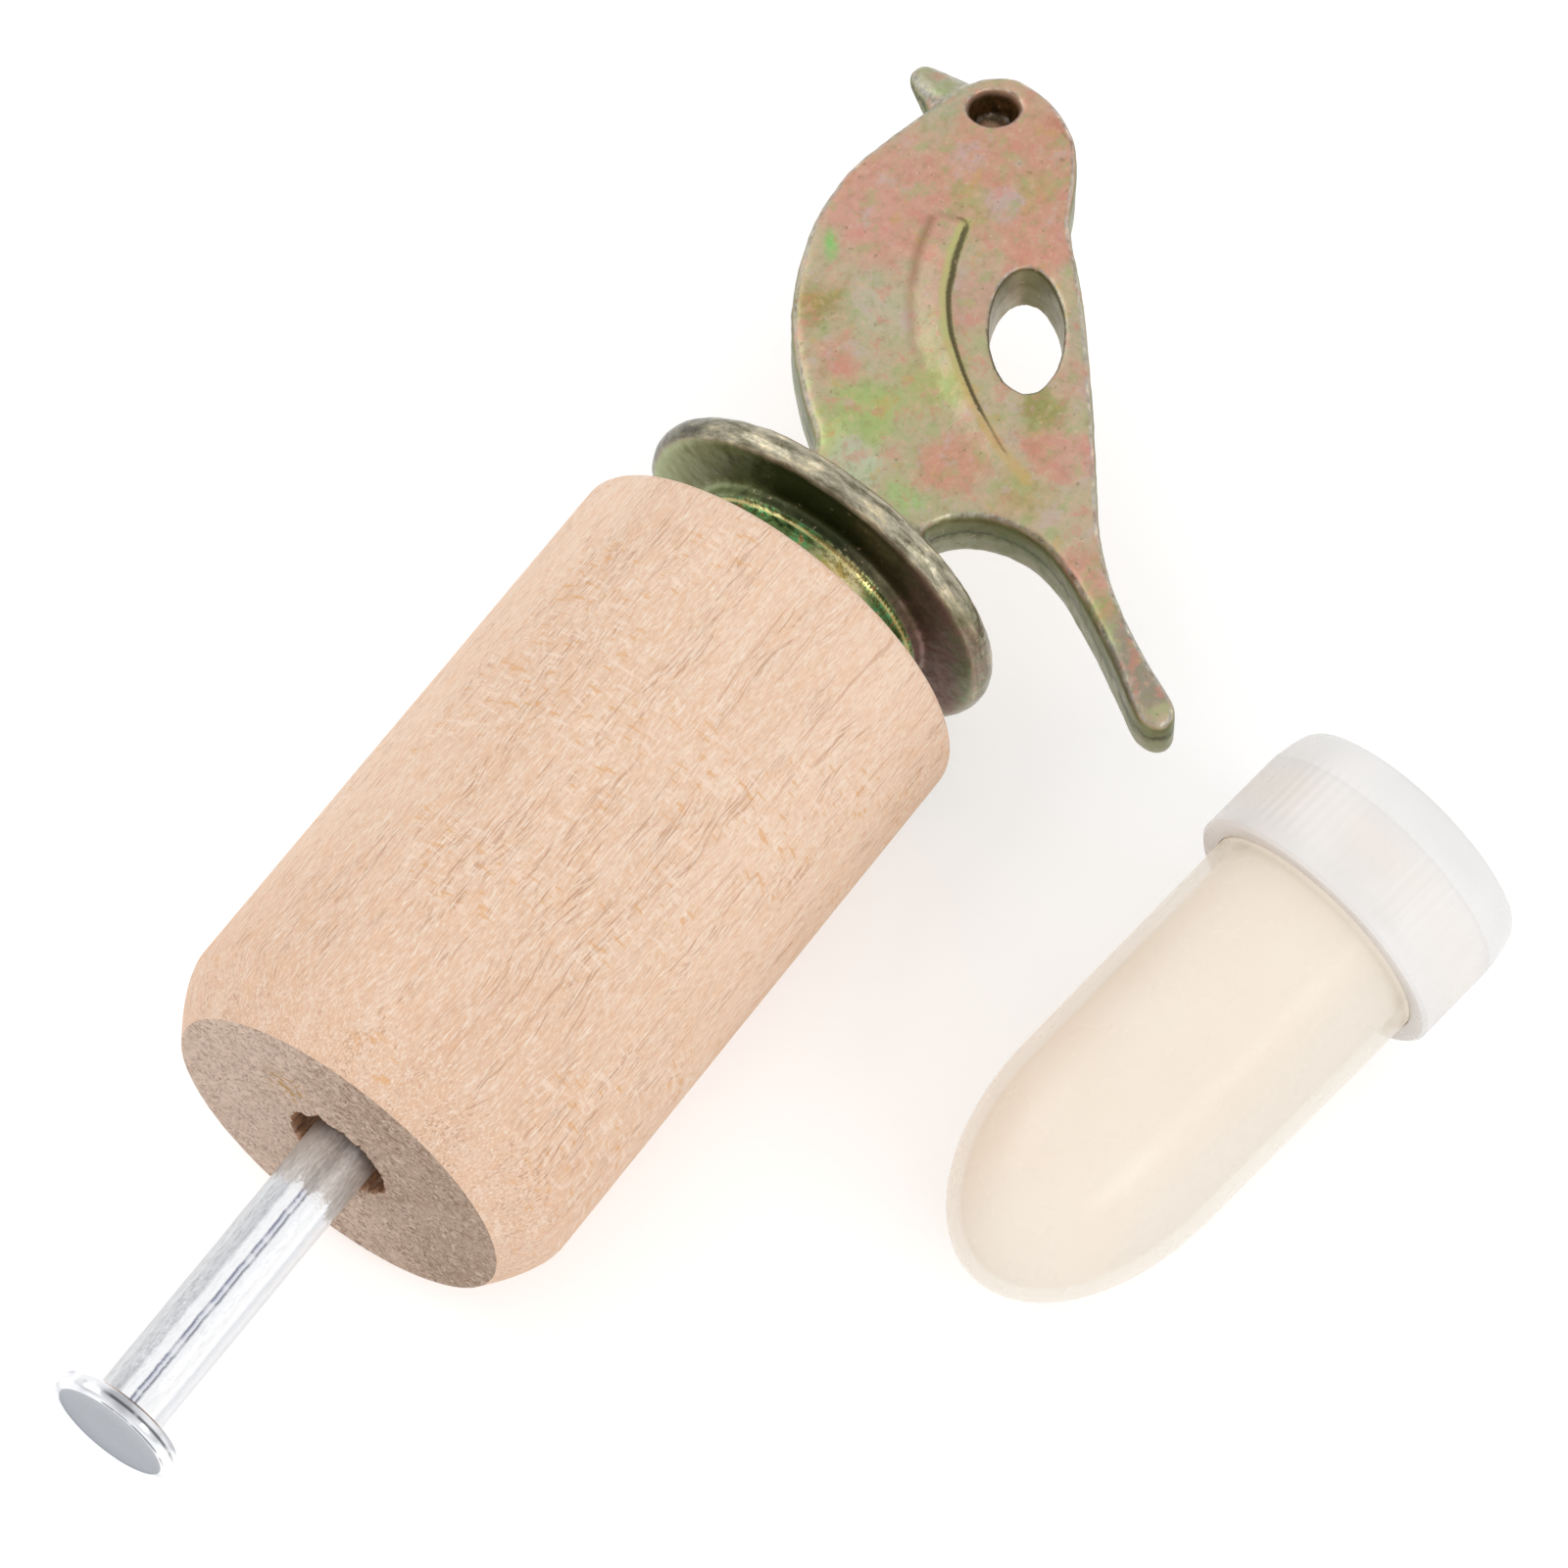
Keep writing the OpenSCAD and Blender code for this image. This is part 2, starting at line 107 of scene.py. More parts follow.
def deselect():
    if bpy.context.object and bpy.context.object.mode != "OBJECT":
        bpy.ops.object.mode_set(mode="OBJECT")
    bpy.ops.object.select_all(action="DESELECT")


def only(obj):
    deselect()
    obj.select_set(True)
    bpy.context.view_layer.objects.active = obj


def new_object(name, data):
    obj = bpy.data.objects.new(name, data)
    bpy.context.scene.collection.objects.link(obj)
    return obj


def merge_points():
    """Merges points that lie together and turns all faces outwards, and leaves edit mode."""
    bpy.ops.mesh.select_all(action="SELECT")
    bpy.ops.mesh.remove_doubles(threshold=0.002 * MM)
    bpy.ops.mesh.normals_make_consistent(inside=False)
    bpy.ops.object.mode_set(mode="OBJECT")


def turned(name, profile, steps, closed=False):
    """A profile of (along, radius) points in millimetres, drawn point by point and spun about the X axis."""
    deselect()
    first = Vector((profile[0][0], 0, profile[0][1])) * MM
    bpy.ops.mesh.primitive_plane_add(size=MM, location=first)
    obj = bpy.context.object
    obj.name = obj.data.name = name
    bpy.ops.object.transform_apply()
    bpy.ops.object.mode_set(mode="EDIT")
    bpy.ops.mesh.select_all(action="SELECT")
    bpy.ops.mesh.merge(type="CENTER")
    points = profile[1:] + (profile[:1] if closed else [])
    last = first
    for along, radius in points:
        here = Vector((along, 0, radius)) * MM
        bpy.ops.mesh.extrude_region_move(TRANSFORM_OT_translate={"value": here - last})
        last = here
    bpy.ops.mesh.select_all(action="SELECT")
    bpy.ops.mesh.spin(steps=steps, angle=2 * math.pi, center=(0, 0, 0), axis=(1, 0, 0))
    merge_points()
    return obj


def arc(cx, cr, r, start, end, steps):
    """Points of a rounded edge in a profile, angles in degrees from straight out towards the far end."""
    out = []
    for i in range(steps + 1):
        q = math.radians(start + (end - start) * i / steps)
        out.append((cx + r * math.sin(q), cr + r * math.cos(q)))
    return out


def modifier(obj, kind, **values):
    only(obj)
    m = obj.modifiers.new(kind.lower(), kind)
    for key, value in values.items():
        setattr(m, key, value)
    bpy.ops.object.modifier_apply(modifier=m.name)


def smooth(obj, angle):
    only(obj)
    bpy.ops.object.shade_smooth_by_angle(angle=math.radians(angle))


def roughen(obj, size, depth, seed, where=None):
    """Uneven surface: each point moves along its normal by noise of that size, in millimetres."""
    moves = []
    for v in obj.data.vertices:
        p = v.co / MM
        share = where(p, v.normal) if where else 1.0
        moves.append(v.normal * (noise.noise(p / size + Vector((seed, 0, 0))) * depth * share * MM))
    for v, move in zip(obj.data.vertices, moves):
        v.co += move


def widen(v, k):
    """Moves a point away from the X axis, or nearer to it."""
    v.co.y *= k
    v.co.z *= k


def finish_piece(obj, body, material, slot, *nodes):
    obj.data.materials.clear()
    obj.data.materials.append(material)
    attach(obj, body)
    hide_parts(*nodes)


# Material helpers

def link(tree, socket, value):
    """Joins a node's output to a socket, or sets the socket where the value is a plain one."""
    if isinstance(value, bpy.types.NodeSocket):
        tree.links.new(value, socket)
    else:
        socket.default_value = value


def add(tree, kind, settings=None, values=(), **inputs):
    """A node with its settings, its first inputs in order, and others by name."""
    n = tree.nodes.new(kind)
    for key, value in (settings or {}).items():
        setattr(n, key, value)
    for socket, value in zip(n.inputs, values):
        link(tree, socket, value)
    for key, value in inputs.items():
        link(tree, n.inputs[key], value)
    return n


def math_node(tree, operation, a, b=0.5):
    return add(tree, "ShaderNodeMath", {"operation": operation}, (a, b)).outputs[0]


def times(tree, a, b):
    return math_node(tree, "MULTIPLY", a, b)


def plus(tree, a, b):
    return math_node(tree, "ADD", a, b)


def minus(tree, a, b):
    return math_node(tree, "SUBTRACT", a, b)


def vector_math(tree, operation, *values):
    n = add(tree, "ShaderNodeVectorMath", {"operation": operation}, values)
    return n.outputs["Value" if operation in ("DISTANCE", "LENGTH") else "Vector"]


def linear(part):
    part /= 255
    return part / 12.92 if part <= 0.04045 else ((part + 0.055) / 1.055) ** 2.4


def paint(value):
    """A colour given as red, green and blue from 0 to 255, or a node's output as it is."""
    return (*map(linear, value), 1) if isinstance(value, tuple) else value


def mix(tree, share, a, b):
    """Colour a, with colour b over it by a share."""
    n = add(tree, "ShaderNodeMix", {"data_type": "RGBA"})
    link(tree, n.inputs[0], share)
    link(tree, n.inputs[6], paint(a))
    link(tree, n.inputs[7], paint(b))
    return n.outputs[2]


def mix_values(tree, share, a, b):
    n = add(tree, "ShaderNodeMix", {"data_type": "FLOAT"})
    link(tree, n.inputs[0], share)
    link(tree, n.inputs[2], a)
    link(tree, n.inputs[3], b)
    return n.outputs[0]


def ramp(tree, value, stops):
    """Colours along a value: each stop is its place and its red, green and blue."""
    n = add(tree, "ShaderNodeValToRGB", Fac=value)
    band = n.color_ramp
    while len(band.elements) < len(stops):
        band.elements.new(0.5)
    for element, (at, *color) in zip(band.elements, stops):
        element.position = at
        element.color = paint(tuple(color))
    return n.outputs[0]


def span(tree, value, low, high, to_low=0.0, to_high=1.0):
    """Eases from one value to another while the input runs from low to high."""
    values = (value, low, high, to_low, to_high)
    return add(tree, "ShaderNodeMapRange", {"interpolation_type": "SMOOTHSTEP"}, values).outputs[0]


def tinted(tree, color, layers):
    """Lays tints over a colour, each up to its share while a value runs from one level to another."""
    for value, low, high, share, tint in layers:
        color = mix(tree, span(tree, value, low, high, 0.0, share), color, tint)
    return color


def covered(tree, color, mask, share, tint):
    """Lays a tint over a colour where a mask is, up to a share."""
    return mix(tree, times(tree, mask, share), color, tint)


def mm_place(tree, scale=1.0, shift=(0, 0, 0)):
    """Object coordinates in millimetres, stretched by one scale or by a scale for each axis."""
    scales = scale if isinstance(scale, tuple) else (scale,) * 3
    coordinate = add(tree, "ShaderNodeTexCoord")
    m = add(tree, "ShaderNodeMapping", Vector=coordinate.outputs["Object"])
    m.inputs["Scale"].default_value = [v / MM for v in scales]
    m.inputs["Location"].default_value = shift
    return m.outputs[0]


def noise_at(tree, vector, detail=3.0, rough=0.5, distortion=0.0, scale=1.0):
    n = add(tree, "ShaderNodeTexNoise", Vector=vector, Scale=scale, Detail=detail, Roughness=rough)
    n.inputs["Distortion"].default_value = distortion
    return n.outputs


def cloud(tree, scale, detail=3.0, rough=0.5, distortion=0.0, shift=(0, 0, 0)):
    """Noise with so many bumps to the millimetre along each axis."""
    return noise_at(tree, mm_place(tree, scale, shift), detail, rough, distortion)["Fac"]


def axis_value(tree, vector, axis):
    return add(tree, "ShaderNodeSeparateXYZ", Vector=vector).outputs[axis]


def distance_off_axis(tree, vector):
    return vector_math(tree, "LENGTH", vector_math(tree, "MULTIPLY", vector, (0, 1, 1)))


def painted(tree, name):
    """What the mesh says of a place, by the name of its attribute."""
    return add(tree, "ShaderNodeAttribute", {"attribute_name": name}).outputs["Fac"]


def group(name, output, **inputs):
    """An empty node group with one output, and inputs for numbers, or for a vector where none is given."""
    g = bpy.data.node_groups.new(name, "ShaderNodeTree")
    for label, value in inputs.items():
        kind = "NodeSocketVector" if value is None else "NodeSocketFloat"
        socket = g.interface.new_socket(name=label, in_out="INPUT", socket_type=kind)
        if value is not None:
            socket.default_value = value
    g.interface.new_socket(name=output, in_out="OUTPUT", socket_type="NodeSocketFloat")
    return g, g.nodes.new("NodeGroupInput").outputs, g.nodes.new("NodeGroupOutput").inputs


def speckle_group():
    """Scattered specks: 1 inside a speck and 0 outside."""
    g, given, out = group("specks", "Mask", Vector=None, Scale=1000.0, Level=0.66, Softness=0.04)
    fac = noise_at(g, given["Vector"], 1.5, 0.4, scale=given["Scale"])["Fac"]
    top = plus(g, given["Level"], given["Softness"])
    link(g, out["Mask"], span(g, fac, given["Level"], top))
    return g


def unevenness_group():
    """A height with fine unevenness of two sizes."""
    g, given, out = group("fine_unevenness", "Height", Vector=None, Coarse=500.0, Fine=3000.0, Balance=0.5)
    coarse = noise_at(g, given["Vector"], 2.0, scale=given["Coarse"])["Fac"]
    fine = noise_at(g, given["Vector"], 3.0, scale=given["Fine"])["Fac"]
    link(g, out["Height"], mix_values(g, given["Balance"], coarse, fine))
    return g


def patch_group():
    """A round patch: 1 near its centre, fading to 0 at its size."""
    g, given, out = group("soft_patch", "Mask", Vector=None, Centre=None, Size=1.0, Softness=0.5)
    gap = vector_math(g, "DISTANCE", given["Vector"], given["Centre"])
    inner = times(g, given["Size"], minus(g, 1.0, given["Softness"]))
    link(g, out["Mask"], span(g, gap, given["Size"], inner))
    return g


def ring_group():
    """A thin ring: 1 where a distance equals a radius."""
    g, given, out = group("thin_ring", "Mask", Distance=0.0, Radius=1.0, Width=0.1)
    off = math_node(g, "ABSOLUTE", minus(g, given["Distance"], given["Radius"]))
    link(g, out["Mask"], span(g, off, given["Width"], 0.0))
    return g


SPECKS, UNEVEN, PATCH, RING = speckle_group(), unevenness_group(), patch_group(), ring_group()


def shared(tree, node_group, *values):
    return add(tree, "ShaderNodeGroup", {"node_tree": node_group}, values).outputs[0]


def specks(tree, vector, scale, level, softness):
    return shared(tree, SPECKS, vector, scale, level, softness)


def uneven(tree, vector, coarse, fine, balance=0.5):
    return shared(tree, UNEVEN, vector, coarse, fine, balance)


def patch(tree, vector, centre, size, softness):
    return shared(tree, PATCH, vector, centre, size, softness)


def ring_mask(tree, distance, radius, width):
    return shared(tree, RING, distance, radius, width)


def material(name):
    m = bpy.data.materials.new(name)
    m.use_nodes = True
    tree = m.node_tree
    tree.nodes.clear()
    shader = tree.nodes.new("ShaderNodeBsdfPrincipled")
    out = tree.nodes.new("ShaderNodeOutputMaterial")
    tree.links.new(shader.outputs[0], out.inputs[0])
    return m, tree, shader


def bump(tree, shader, height, distance, strength):
    n = add(tree, "ShaderNodeBump", Height=height, Strength=strength, Distance=distance)
    link(tree, shader.inputs["Normal"], n.outputs[0])


# Finishes, with colours as red, green and blue from 0 to 255 and places in millimetres

WOOD_WARM, WOOD_MID, WOOD_PALE = (234, 199, 171), (240, 207, 180), (244, 213, 188)
# Greys of the pin's painted reflection bands
PIN_REFLECTION_DARK, PIN_REFLECTION_MID = (150, 152, 158), (178, 180, 186)

# How far the edges of the coating's patches wander, and each patch's x, y, size, softness and colour
PATCH_WANDER = 1.7
COATING_PATCHES = [
    (45.0, 9.6, 5.4, 0.5, (201, 154, 134)), (51.2, 5.6, 6.0, 0.4, (197, 152, 127)),
    (43.3, 10.8, 2.4, 0.6, (205, 154, 138)), (47.4, 1.6, 3.4, 0.6, (202, 150, 128)),
    (50.3, 3.9, 1.9, 0.8, (182, 158, 114)), (47.6, 6.2, 1.6, 0.8, (178, 164, 118)),
    (50.1, 8.1, 1.5, 0.7, (198, 166, 158)), (48.6, 4.9, 1.5, 0.7, (192, 166, 156)),
    (54.6, 4.9, 1.6, 0.8, (190, 132, 108)), (37.2, 9.4, 2.3, 0.8, (156, 142, 88)),
    (34.9, 6.4, 2.0, 0.8, (196, 152, 126)), (39.2, 6.6, 2.8, 0.8, (186, 178, 150)),
    (42.4, 2.6, 3.0, 0.6, (192, 158, 138)), (33.0, 3.2, 3.2, 0.7, (166, 182, 116)),
    (36.4, 1.0, 2.8, 0.7, (170, 174, 114)), (30.8, 3.6, 1.8, 0.8, (184, 196, 132)),
    (33.3, -2.6, 2.7, 0.6, (199, 150, 124)), (30.0, 1.6, 2.4, 0.7, (186, 194, 164)),
    (29.8, -2.0, 1.8, 0.8, (164, 188, 126)), (38.8, -4.7, 2.0, 0.7, (152, 148, 90)),
    (36.9, -6.3, 1.9, 0.7, (196, 148, 124)), (34.0, -7.0, 2.4, 0.8, (176, 160, 110)),
    (37.8, -8.2, 2.2, 0.7, (200, 156, 138)), (44.4, -3.6, 2.6, 0.7, (176, 166, 140)),
    (42.0, -6.0, 2.0, 0.8, (188, 160, 136)), (31.9, -12.6, 2.1, 0.7, (198, 148, 128)),
    (30.6, -14.8, 1.7, 0.8, (154, 162, 102)), (28.8, -18.2, 3.8, 0.5, (148, 140, 122)),
    (52.4, 12.2, 3.0, 0.6, (168, 168, 138)), (51.9, 12.5, 1.0, 0.8, (198, 150, 130)),
]


def wood_finish():
    m, t, s = material("pale_sanded_wood")
    mm = mm_place(t)
    # Broad warm and pale areas, drawn out along the grain
    broad = cloud(t, (0.03, 0.13, 0.13))
    color = ramp(t, broad, [(0.32, *WOOD_WARM), (0.5, *WOOD_MID), (0.68, *WOOD_PALE)])
    # Crumbly texture of the cut fibres: pale strokes over warmer ground
    crumb = cloud(t, (2.0, 7.5, 7.5), 5.0, 0.7)
    blotch = cloud(t, (0.5, 1.3, 1.3), 4.0, 0.6, shift=(6, 0, 0))
    color = tinted(t, color, [
        (axis_value(t, mm, "X"), -4.0, -19.0, 0.5, (226, 184, 154)),
        (crumb, 0.49, 0.62, 0.6, (254, 230, 210)),
        (crumb, 0.49, 0.36, 0.5, (222, 178, 146)),
        (blotch, 0.5, 0.66, 0.3, (240, 192, 154)),
        (blotch, 0.46, 0.34, 0.35, (246, 222, 202)),
    ])
    # Hair-thin dark vessel lines along the grain, in groups, a few long ones, and painted pale glints
    sway = cloud(t, (0.12, 0.3, 0.3), 2.0)
    shift = add(t, "ShaderNodeCombineXYZ", Y=times(t, sway, 2.0), Z=times(t, sway, 1.4))
    wavy = vector_math(t, "ADD", mm, shift.outputs[0])

    def lines(scale, low, high, offset):
        stretched = add(t, "ShaderNodeMapping", Vector=wavy)
        stretched.inputs["Scale"].default_value = scale
        stretched.inputs["Location"].default_value = (offset, 0, 0)
        return span(t, noise_at(t, stretched.outputs[0], 3.0, 0.55)["Fac"], low, high)

    grouped = span(t, cloud(t, (0.1, 0.5, 0.5), 2.0, shift=(0, 5, 0)), 0.42, 0.6)
    dash = times(t, lines((0.4, 8.0, 8.0), 0.575, 0.64, 0.0), grouped)
    color = covered(t, color, dash, 0.6, (194, 146, 114))
    color = covered(t, color, lines((0.12, 5.5, 5.5), 0.62, 0.66, 7.0), 0.45, (198, 150, 118))
    # Painted highlight: pale glints along the grain
    color = covered(t, color, lines((0.7, 10.0, 10.0), 0.58, 0.68, 13.0), 0.65, (255, 240, 222))
    # Ray flecks: short bars across the grain in patches, some ochre and some pale
    where = span(t, cloud(t, (0.1, 0.16, 0.16), 2.0, shift=(4, 0, 0)), 0.47, 0.58)
    bar = cloud(t, (3.0, 0.9, 0.9), 2.0)
    color = covered(t, color, times(t, span(t, bar, 0.6, 0.68), where), 0.65, (230, 176, 122))
    color = covered(t, color, times(t, span(t, bar, 0.42, 0.34), where), 0.6, (252, 226, 206))
    # End grain: greyer, rough and curly, with painted light to the breast's side and painted shade to the
    # tail's
    normal = add(t, "ShaderNodeTexCoord").outputs["Normal"]
    end = span(t, math_node(t, "ABSOLUTE", axis_value(t, normal, "X")), 0.76, 0.97)
    curl = cloud(t, (1.0, 2.2, 2.8), 4.0, 0.65, 1.6)
    tone = cloud(t, (0.1, 0.2, 0.2), shift=(2, 1, 0))
    across = plus(t, axis_value(t, mm, "Y"), times(t, minus(t, tone, 0.5), 12.0))
    end_color = ramp(t, curl, [
        (0.32, 166, 134, 110), (0.44, 198, 168, 146), (0.56, 216, 188, 168), (0.7, 240, 218, 198)])
    end_color = tinted(t, end_color, [
        (tone, 0.42, 0.62, 0.4, (228, 200, 180)),
        # Painted light and shade across the end face
        (across, -2.0, 7.0, 0.7, (246, 218, 198)),
        (across, 0.0, -8.0, 0.5, (176, 148, 126)),
        (curl, 0.5, 0.38, 0.55, (138, 108, 86)),
        (curl, 0.52, 0.64, 0.5, (240, 218, 200)),
    ])
    end_color = covered(t, end_color, specks(t, mm, 3.4, 0.6, 0.08), 0.3, (148, 116, 92))
    ochre_dots = specks(t, mm_place(t, shift=(3, 0, 0)), 2.4, 0.5, 0.1)
    ochre = patch(t, mm, (NEAR_X, 3.2, 4.4), 2.2, 0.8)
    end_color = mix(t, times(t, ochre, ochre_dots), end_color, (204, 160, 106))
    color = mix(t, end, color, end_color)
    # Darker brown inside the pin's hole
    near_axis = span(t, distance_off_axis(t, mm), PIN_HOLE_R + 0.27, PIN_HOLE_R - 0.03)
    inside = times(t, near_axis, minus(t, 1.0, end))
    color = mix(t, inside, color, mix(t, span(t, curl, 0.35, 0.65), (128, 88, 62), (196, 150, 114)))
    link(t, s.inputs["Base Color"], color)
    link(t, s.inputs["Roughness"], span(t, crumb, 0.3, 0.7, 0.6, 0.72))
    s.inputs["Specular IOR Level"].default_value = 0.3
    height = mix_values(t, end, minus(t, crumb, times(t, dash, 0.6)), times(t, curl, 9.0))
    bump(t, s, height, 0.06 * MM, 0.6)
    return m


def coating_color(t, mm, mottle, tinge):
    """The thin coating's play of colours: soft patches with wandering edges under a fine mottling."""
    wander = noise_at(t, mm_place(t, (0.55, 0.55, 0.2)), 4.0, 0.6)["Color"]
    away = vector_math(t, "MULTIPLY_ADD", wander, (2 * PATCH_WANDER, 2 * PATCH_WANDER, 0), mm)
    back = vector_math(t, "SUBTRACT", away, (PATCH_WANDER, PATCH_WANDER, 0))
    flat = vector_math(t, "MULTIPLY", back, (1, 1, 0))
    ground = cloud(t, (0.16, 0.16, 0.1))
    color = ramp(t, ground, [(0.35, 180, 172, 134), (0.5, 187, 172, 142), (0.65, 192, 166, 138)])
    for x, y, size, softness, tint in COATING_PATCHES:
        color = mix(t, patch(t, flat, (x, y, 0), size, softness), color, tint)
    # One clear green fleck near the breast's edge
    fleck = add(t, "ShaderNodeMapping", {"vector_type": "TEXTURE"}, Vector=mm)
    fleck.inputs["Location"].default_value = (40.7, 11.0, 0)
    fleck.inputs["Rotation"].default_value = (0, 0, math.radians(38))
    fleck.inputs["Scale"].default_value = (1.5, 0.6, 1000)
    color = mix(t, patch(t, fleck.outputs[0], (0, 0, 0), 1.0, 0.9), color, (134, 192, 106))
    cool = cloud(t, 0.6, 5.0, 0.7, shift=(0, 9, 4))
    return tinted(t, color, [
        (mottle, 0.5, 0.66, 0.45, (214, 176, 148)),
        (mottle, 0.5, 0.34, 0.45, (150, 136, 92)),
        (tinge, 0.52, 0.64, 0.5, (204, 136, 122)),
        (tinge, 0.48, 0.36, 0.45, (152, 172, 112)),
        (cool, 0.55, 0.68, 0.45, (196, 176, 172)),
        (cool, 0.42, 0.33, 0.4, (198, 160, 92)),
    ])


def plate_wall_color(t, mm, tinge):
    """Olive above and paler below, with a dark ragged line between."""
    ragged = cloud(t, (0.9, 0.9, 0.4), 4.0, 0.65)
    level = plus(t, axis_value(t, mm, "Z"), times(t, minus(t, ragged, 0.5), 2.0))
    color = ramp(t, plus(t, times(t, level, 0.2), 0.5), [
        (0.05, 120, 116, 92), (0.2, 158, 156, 132), (0.42, 152, 152, 124), (0.52, 116, 114, 82),
        (0.56, 66, 64, 40), (0.6, 108, 108, 70), (0.8, 126, 126, 86), (0.93, 96, 92, 60)])
    return tinted(t, color, [(tinge, 0.45, 0.6, 0.35, (120, 140, 90))])


def flange_under_color(t, y, tinge):
    """Painted shade and reflections on the flange's underside: sage and brown at one end, dark in the middle
    and pale sage at the other.
    """
    across = add(t, "ShaderNodeMapRange", values=(y, -12.0, 12.0, 0.0, 1.0)).outputs[0]
    return ramp(t, plus(t, across, times(t, minus(t, tinge, 0.5), 0.35)), [
        (0.03, 128, 140, 104), (0.14, 144, 112, 104), (0.26, 84, 76, 52), (0.4, 44, 50, 20),
        (0.62, 56, 62, 26), (0.76, 130, 140, 92), (0.9, 172, 182, 136)])


def plug_color(t, mm, x, y):
    """Bright green with painted gold and red glints near the shoulder, painted shade on the side towards +Y,
    and dull with rosin where it rubs.
    """
    flash = cloud(t, 0.9, 5.0, 0.7, 0.4, shift=(5, 2, 0))
    color = ramp(t, flash, [
        (0.3, 34, 54, 24), (0.42, 66, 94, 44), (0.5, 104, 122, 64), (0.56, 76, 152, 96),
        (0.61, 150, 152, 86), (0.67, 170, 92, 66), (0.75, 236, 226, 180)])
    # Painted shade on the side towards +Y
    color = tinted(t, color, [(y, 2.5, 6.5, 0.7, (62, 70, 34))])
    # Painted highlight: a gold glint near the shoulder
    gold = mix(t, span(t, flash, 0.42, 0.58), (250, 236, 182), (196, 168, 92))
    color = covered(t, color, patch(t, mm, (21.4, -3.2, 6.6), 3.0, 0.9), 0.95, gold)
    streaks = span(t, cloud(t, (0.3, 1.2, 1.2), 4.0, 0.6), 0.4, 0.6)
    rubbed = mix(t, streaks, (160, 152, 122), (188, 179, 148))
    return tinted(t, color, [(x, RUBBED_X + 1.3, RUBBED_X, 0.9, rubbed)])


def rim_color(t, mm, x, y, tinge):
    """Metal rubbed bright, in streaks that run round it, with painted shade at its ends."""
    z = axis_value(t, mm, "Z")
    off_axis = distance_off_axis(t, mm)
    turn = math_node(t, "ARCTAN2", z, y)
    places = (times(t, x, 2.0), times(t, turn, 5.5), times(t, off_axis, 2.0))
    round_it = add(t, "ShaderNodeCombineXYZ", values=places).outputs[0]
    streak = noise_at(t, round_it, 5.0, 0.7)["Fac"]
    color = ramp(t, streak, [
        (0.3, 84, 76, 58), (0.4, 118, 112, 90), (0.48, 154, 148, 126), (0.55, 180, 172, 150),
        (0.62, 206, 192, 156), (0.7, 250, 240, 216)])
    rim_low_shade = mix(t, span(t, tinge, 0.4, 0.6), (118, 122, 92), (140, 118, 106))
    rim_end_shade = mix(t, span(t, streak, 0.4, 0.62), (48, 48, 32), (92, 90, 66))
    # Painted shade where the rim runs low and towards its +Y end
    return tinted(t, color, [(z, 9.0, 4.0, 0.6, rim_low_shade), (y, 4.5, 9.5, 0.8, rim_end_shade)])


def chromate_finish():
    m, t, s = material("yellow_chromate_on_zinc")
    mm = mm_place(t)
    x, y = axis_value(t, mm, "X"), axis_value(t, mm, "Y")
    mottle = cloud(t, 1.3, 6.0, 0.75)
    tinge = cloud(t, 0.8, 5.0, 0.7, shift=(9, 0, 0))
    bright, rim = painted(t, "bright"), painted(t, "rim")
    color = coating_color(t, mm, mottle, tinge)
    color = mix(t, painted(t, "side"), color, plate_wall_color(t, mm, tinge))
    # Painted shade: dark brown inside the eye and olive inside the oval hole
    brown = mix(t, span(t, mottle, 0.4, 0.6), (60, 44, 18), (100, 70, 34))
    inside = mix(t, span(t, x, BIRD_NECK_X + 1, BIRD_NECK_X - 1), brown, (104, 102, 52))
    color = mix(t, painted(t, "hollow_shade"), color, inside)
    # Painted shade and reflections on the flange's underside and the shoulder's wall
    color = mix(t, painted(t, "under"), color, flange_under_color(t, y, tinge))
    color = mix(t, bright, color, plug_color(t, mm, x, y))
    # A thin turned lip shows pale metal
    color = covered(t, color, times(t, ring_mask(t, x, SHOULDER_X - 0.1, 0.13), bright), 0.8, (214, 196, 132))
    # Wing: painted highlight on the pale crest, painted shade on the dark steep wall and the brown band
    crest = mix(t, span(t, x, 40.0, 36.0), (186, 186, 116), (204, 170, 104))
    color = covered(t, color, painted(t, "crest"), 0.8, crest)
    color = covered(t, color, painted(t, "wall"), 0.9, (82, 76, 48))
    color = covered(t, color, painted(t, "brow_shade"), 0.75, (146, 108, 80))
    # Edges of the plate show worn cool grey metal, with painted sheen and cream painted glints
    patchy = span(t, cloud(t, 0.7, 5.0, 0.7, shift=(0, 4, 0)), 0.3, 0.55)
    edge_wear_and_sheen = ramp(t, cloud(t, 1.6, 4.0, 0.65, shift=(0, 0, 5)), [
        (0.32, 84, 78, 62), (0.42, 136, 132, 120), (0.52, 172, 172, 170), (0.62, 206, 200, 180),
        (0.72, 250, 242, 216)])
    color = mix(t, times(t, painted(t, "edge_wear_and_sheen"), patchy), color, edge_wear_and_sheen)
    color = mix(t, rim, color, rim_color(t, mm, x, y, tinge))
    # Light flecks and dark pits
    color = covered(t, color, specks(t, mm_place(t, shift=(4, 0, 0)), 2.6, 0.70, 0.05), 0.25, (226, 202, 172))
    color = covered(t, color, specks(t, mm_place(t, shift=(0, 7, 0)), 2.2, 0.70, 0.05), 0.4, (112, 98, 66))
    link(t, s.inputs["Base Color"], color)
    s.inputs["Metallic"].default_value = 0.6
    gloss = math_node(t, "MAXIMUM", bright, times(t, rim, 0.6))
    link(t, s.inputs["Roughness"], mix_values(t, gloss, span(t, tinge, 0.3, 0.7, 0.32, 0.46), 0.16))
    bump(t, s, uneven(t, mm, 0.9, 3.0, 0.45), 0.07 * MM, 0.55)
    return m


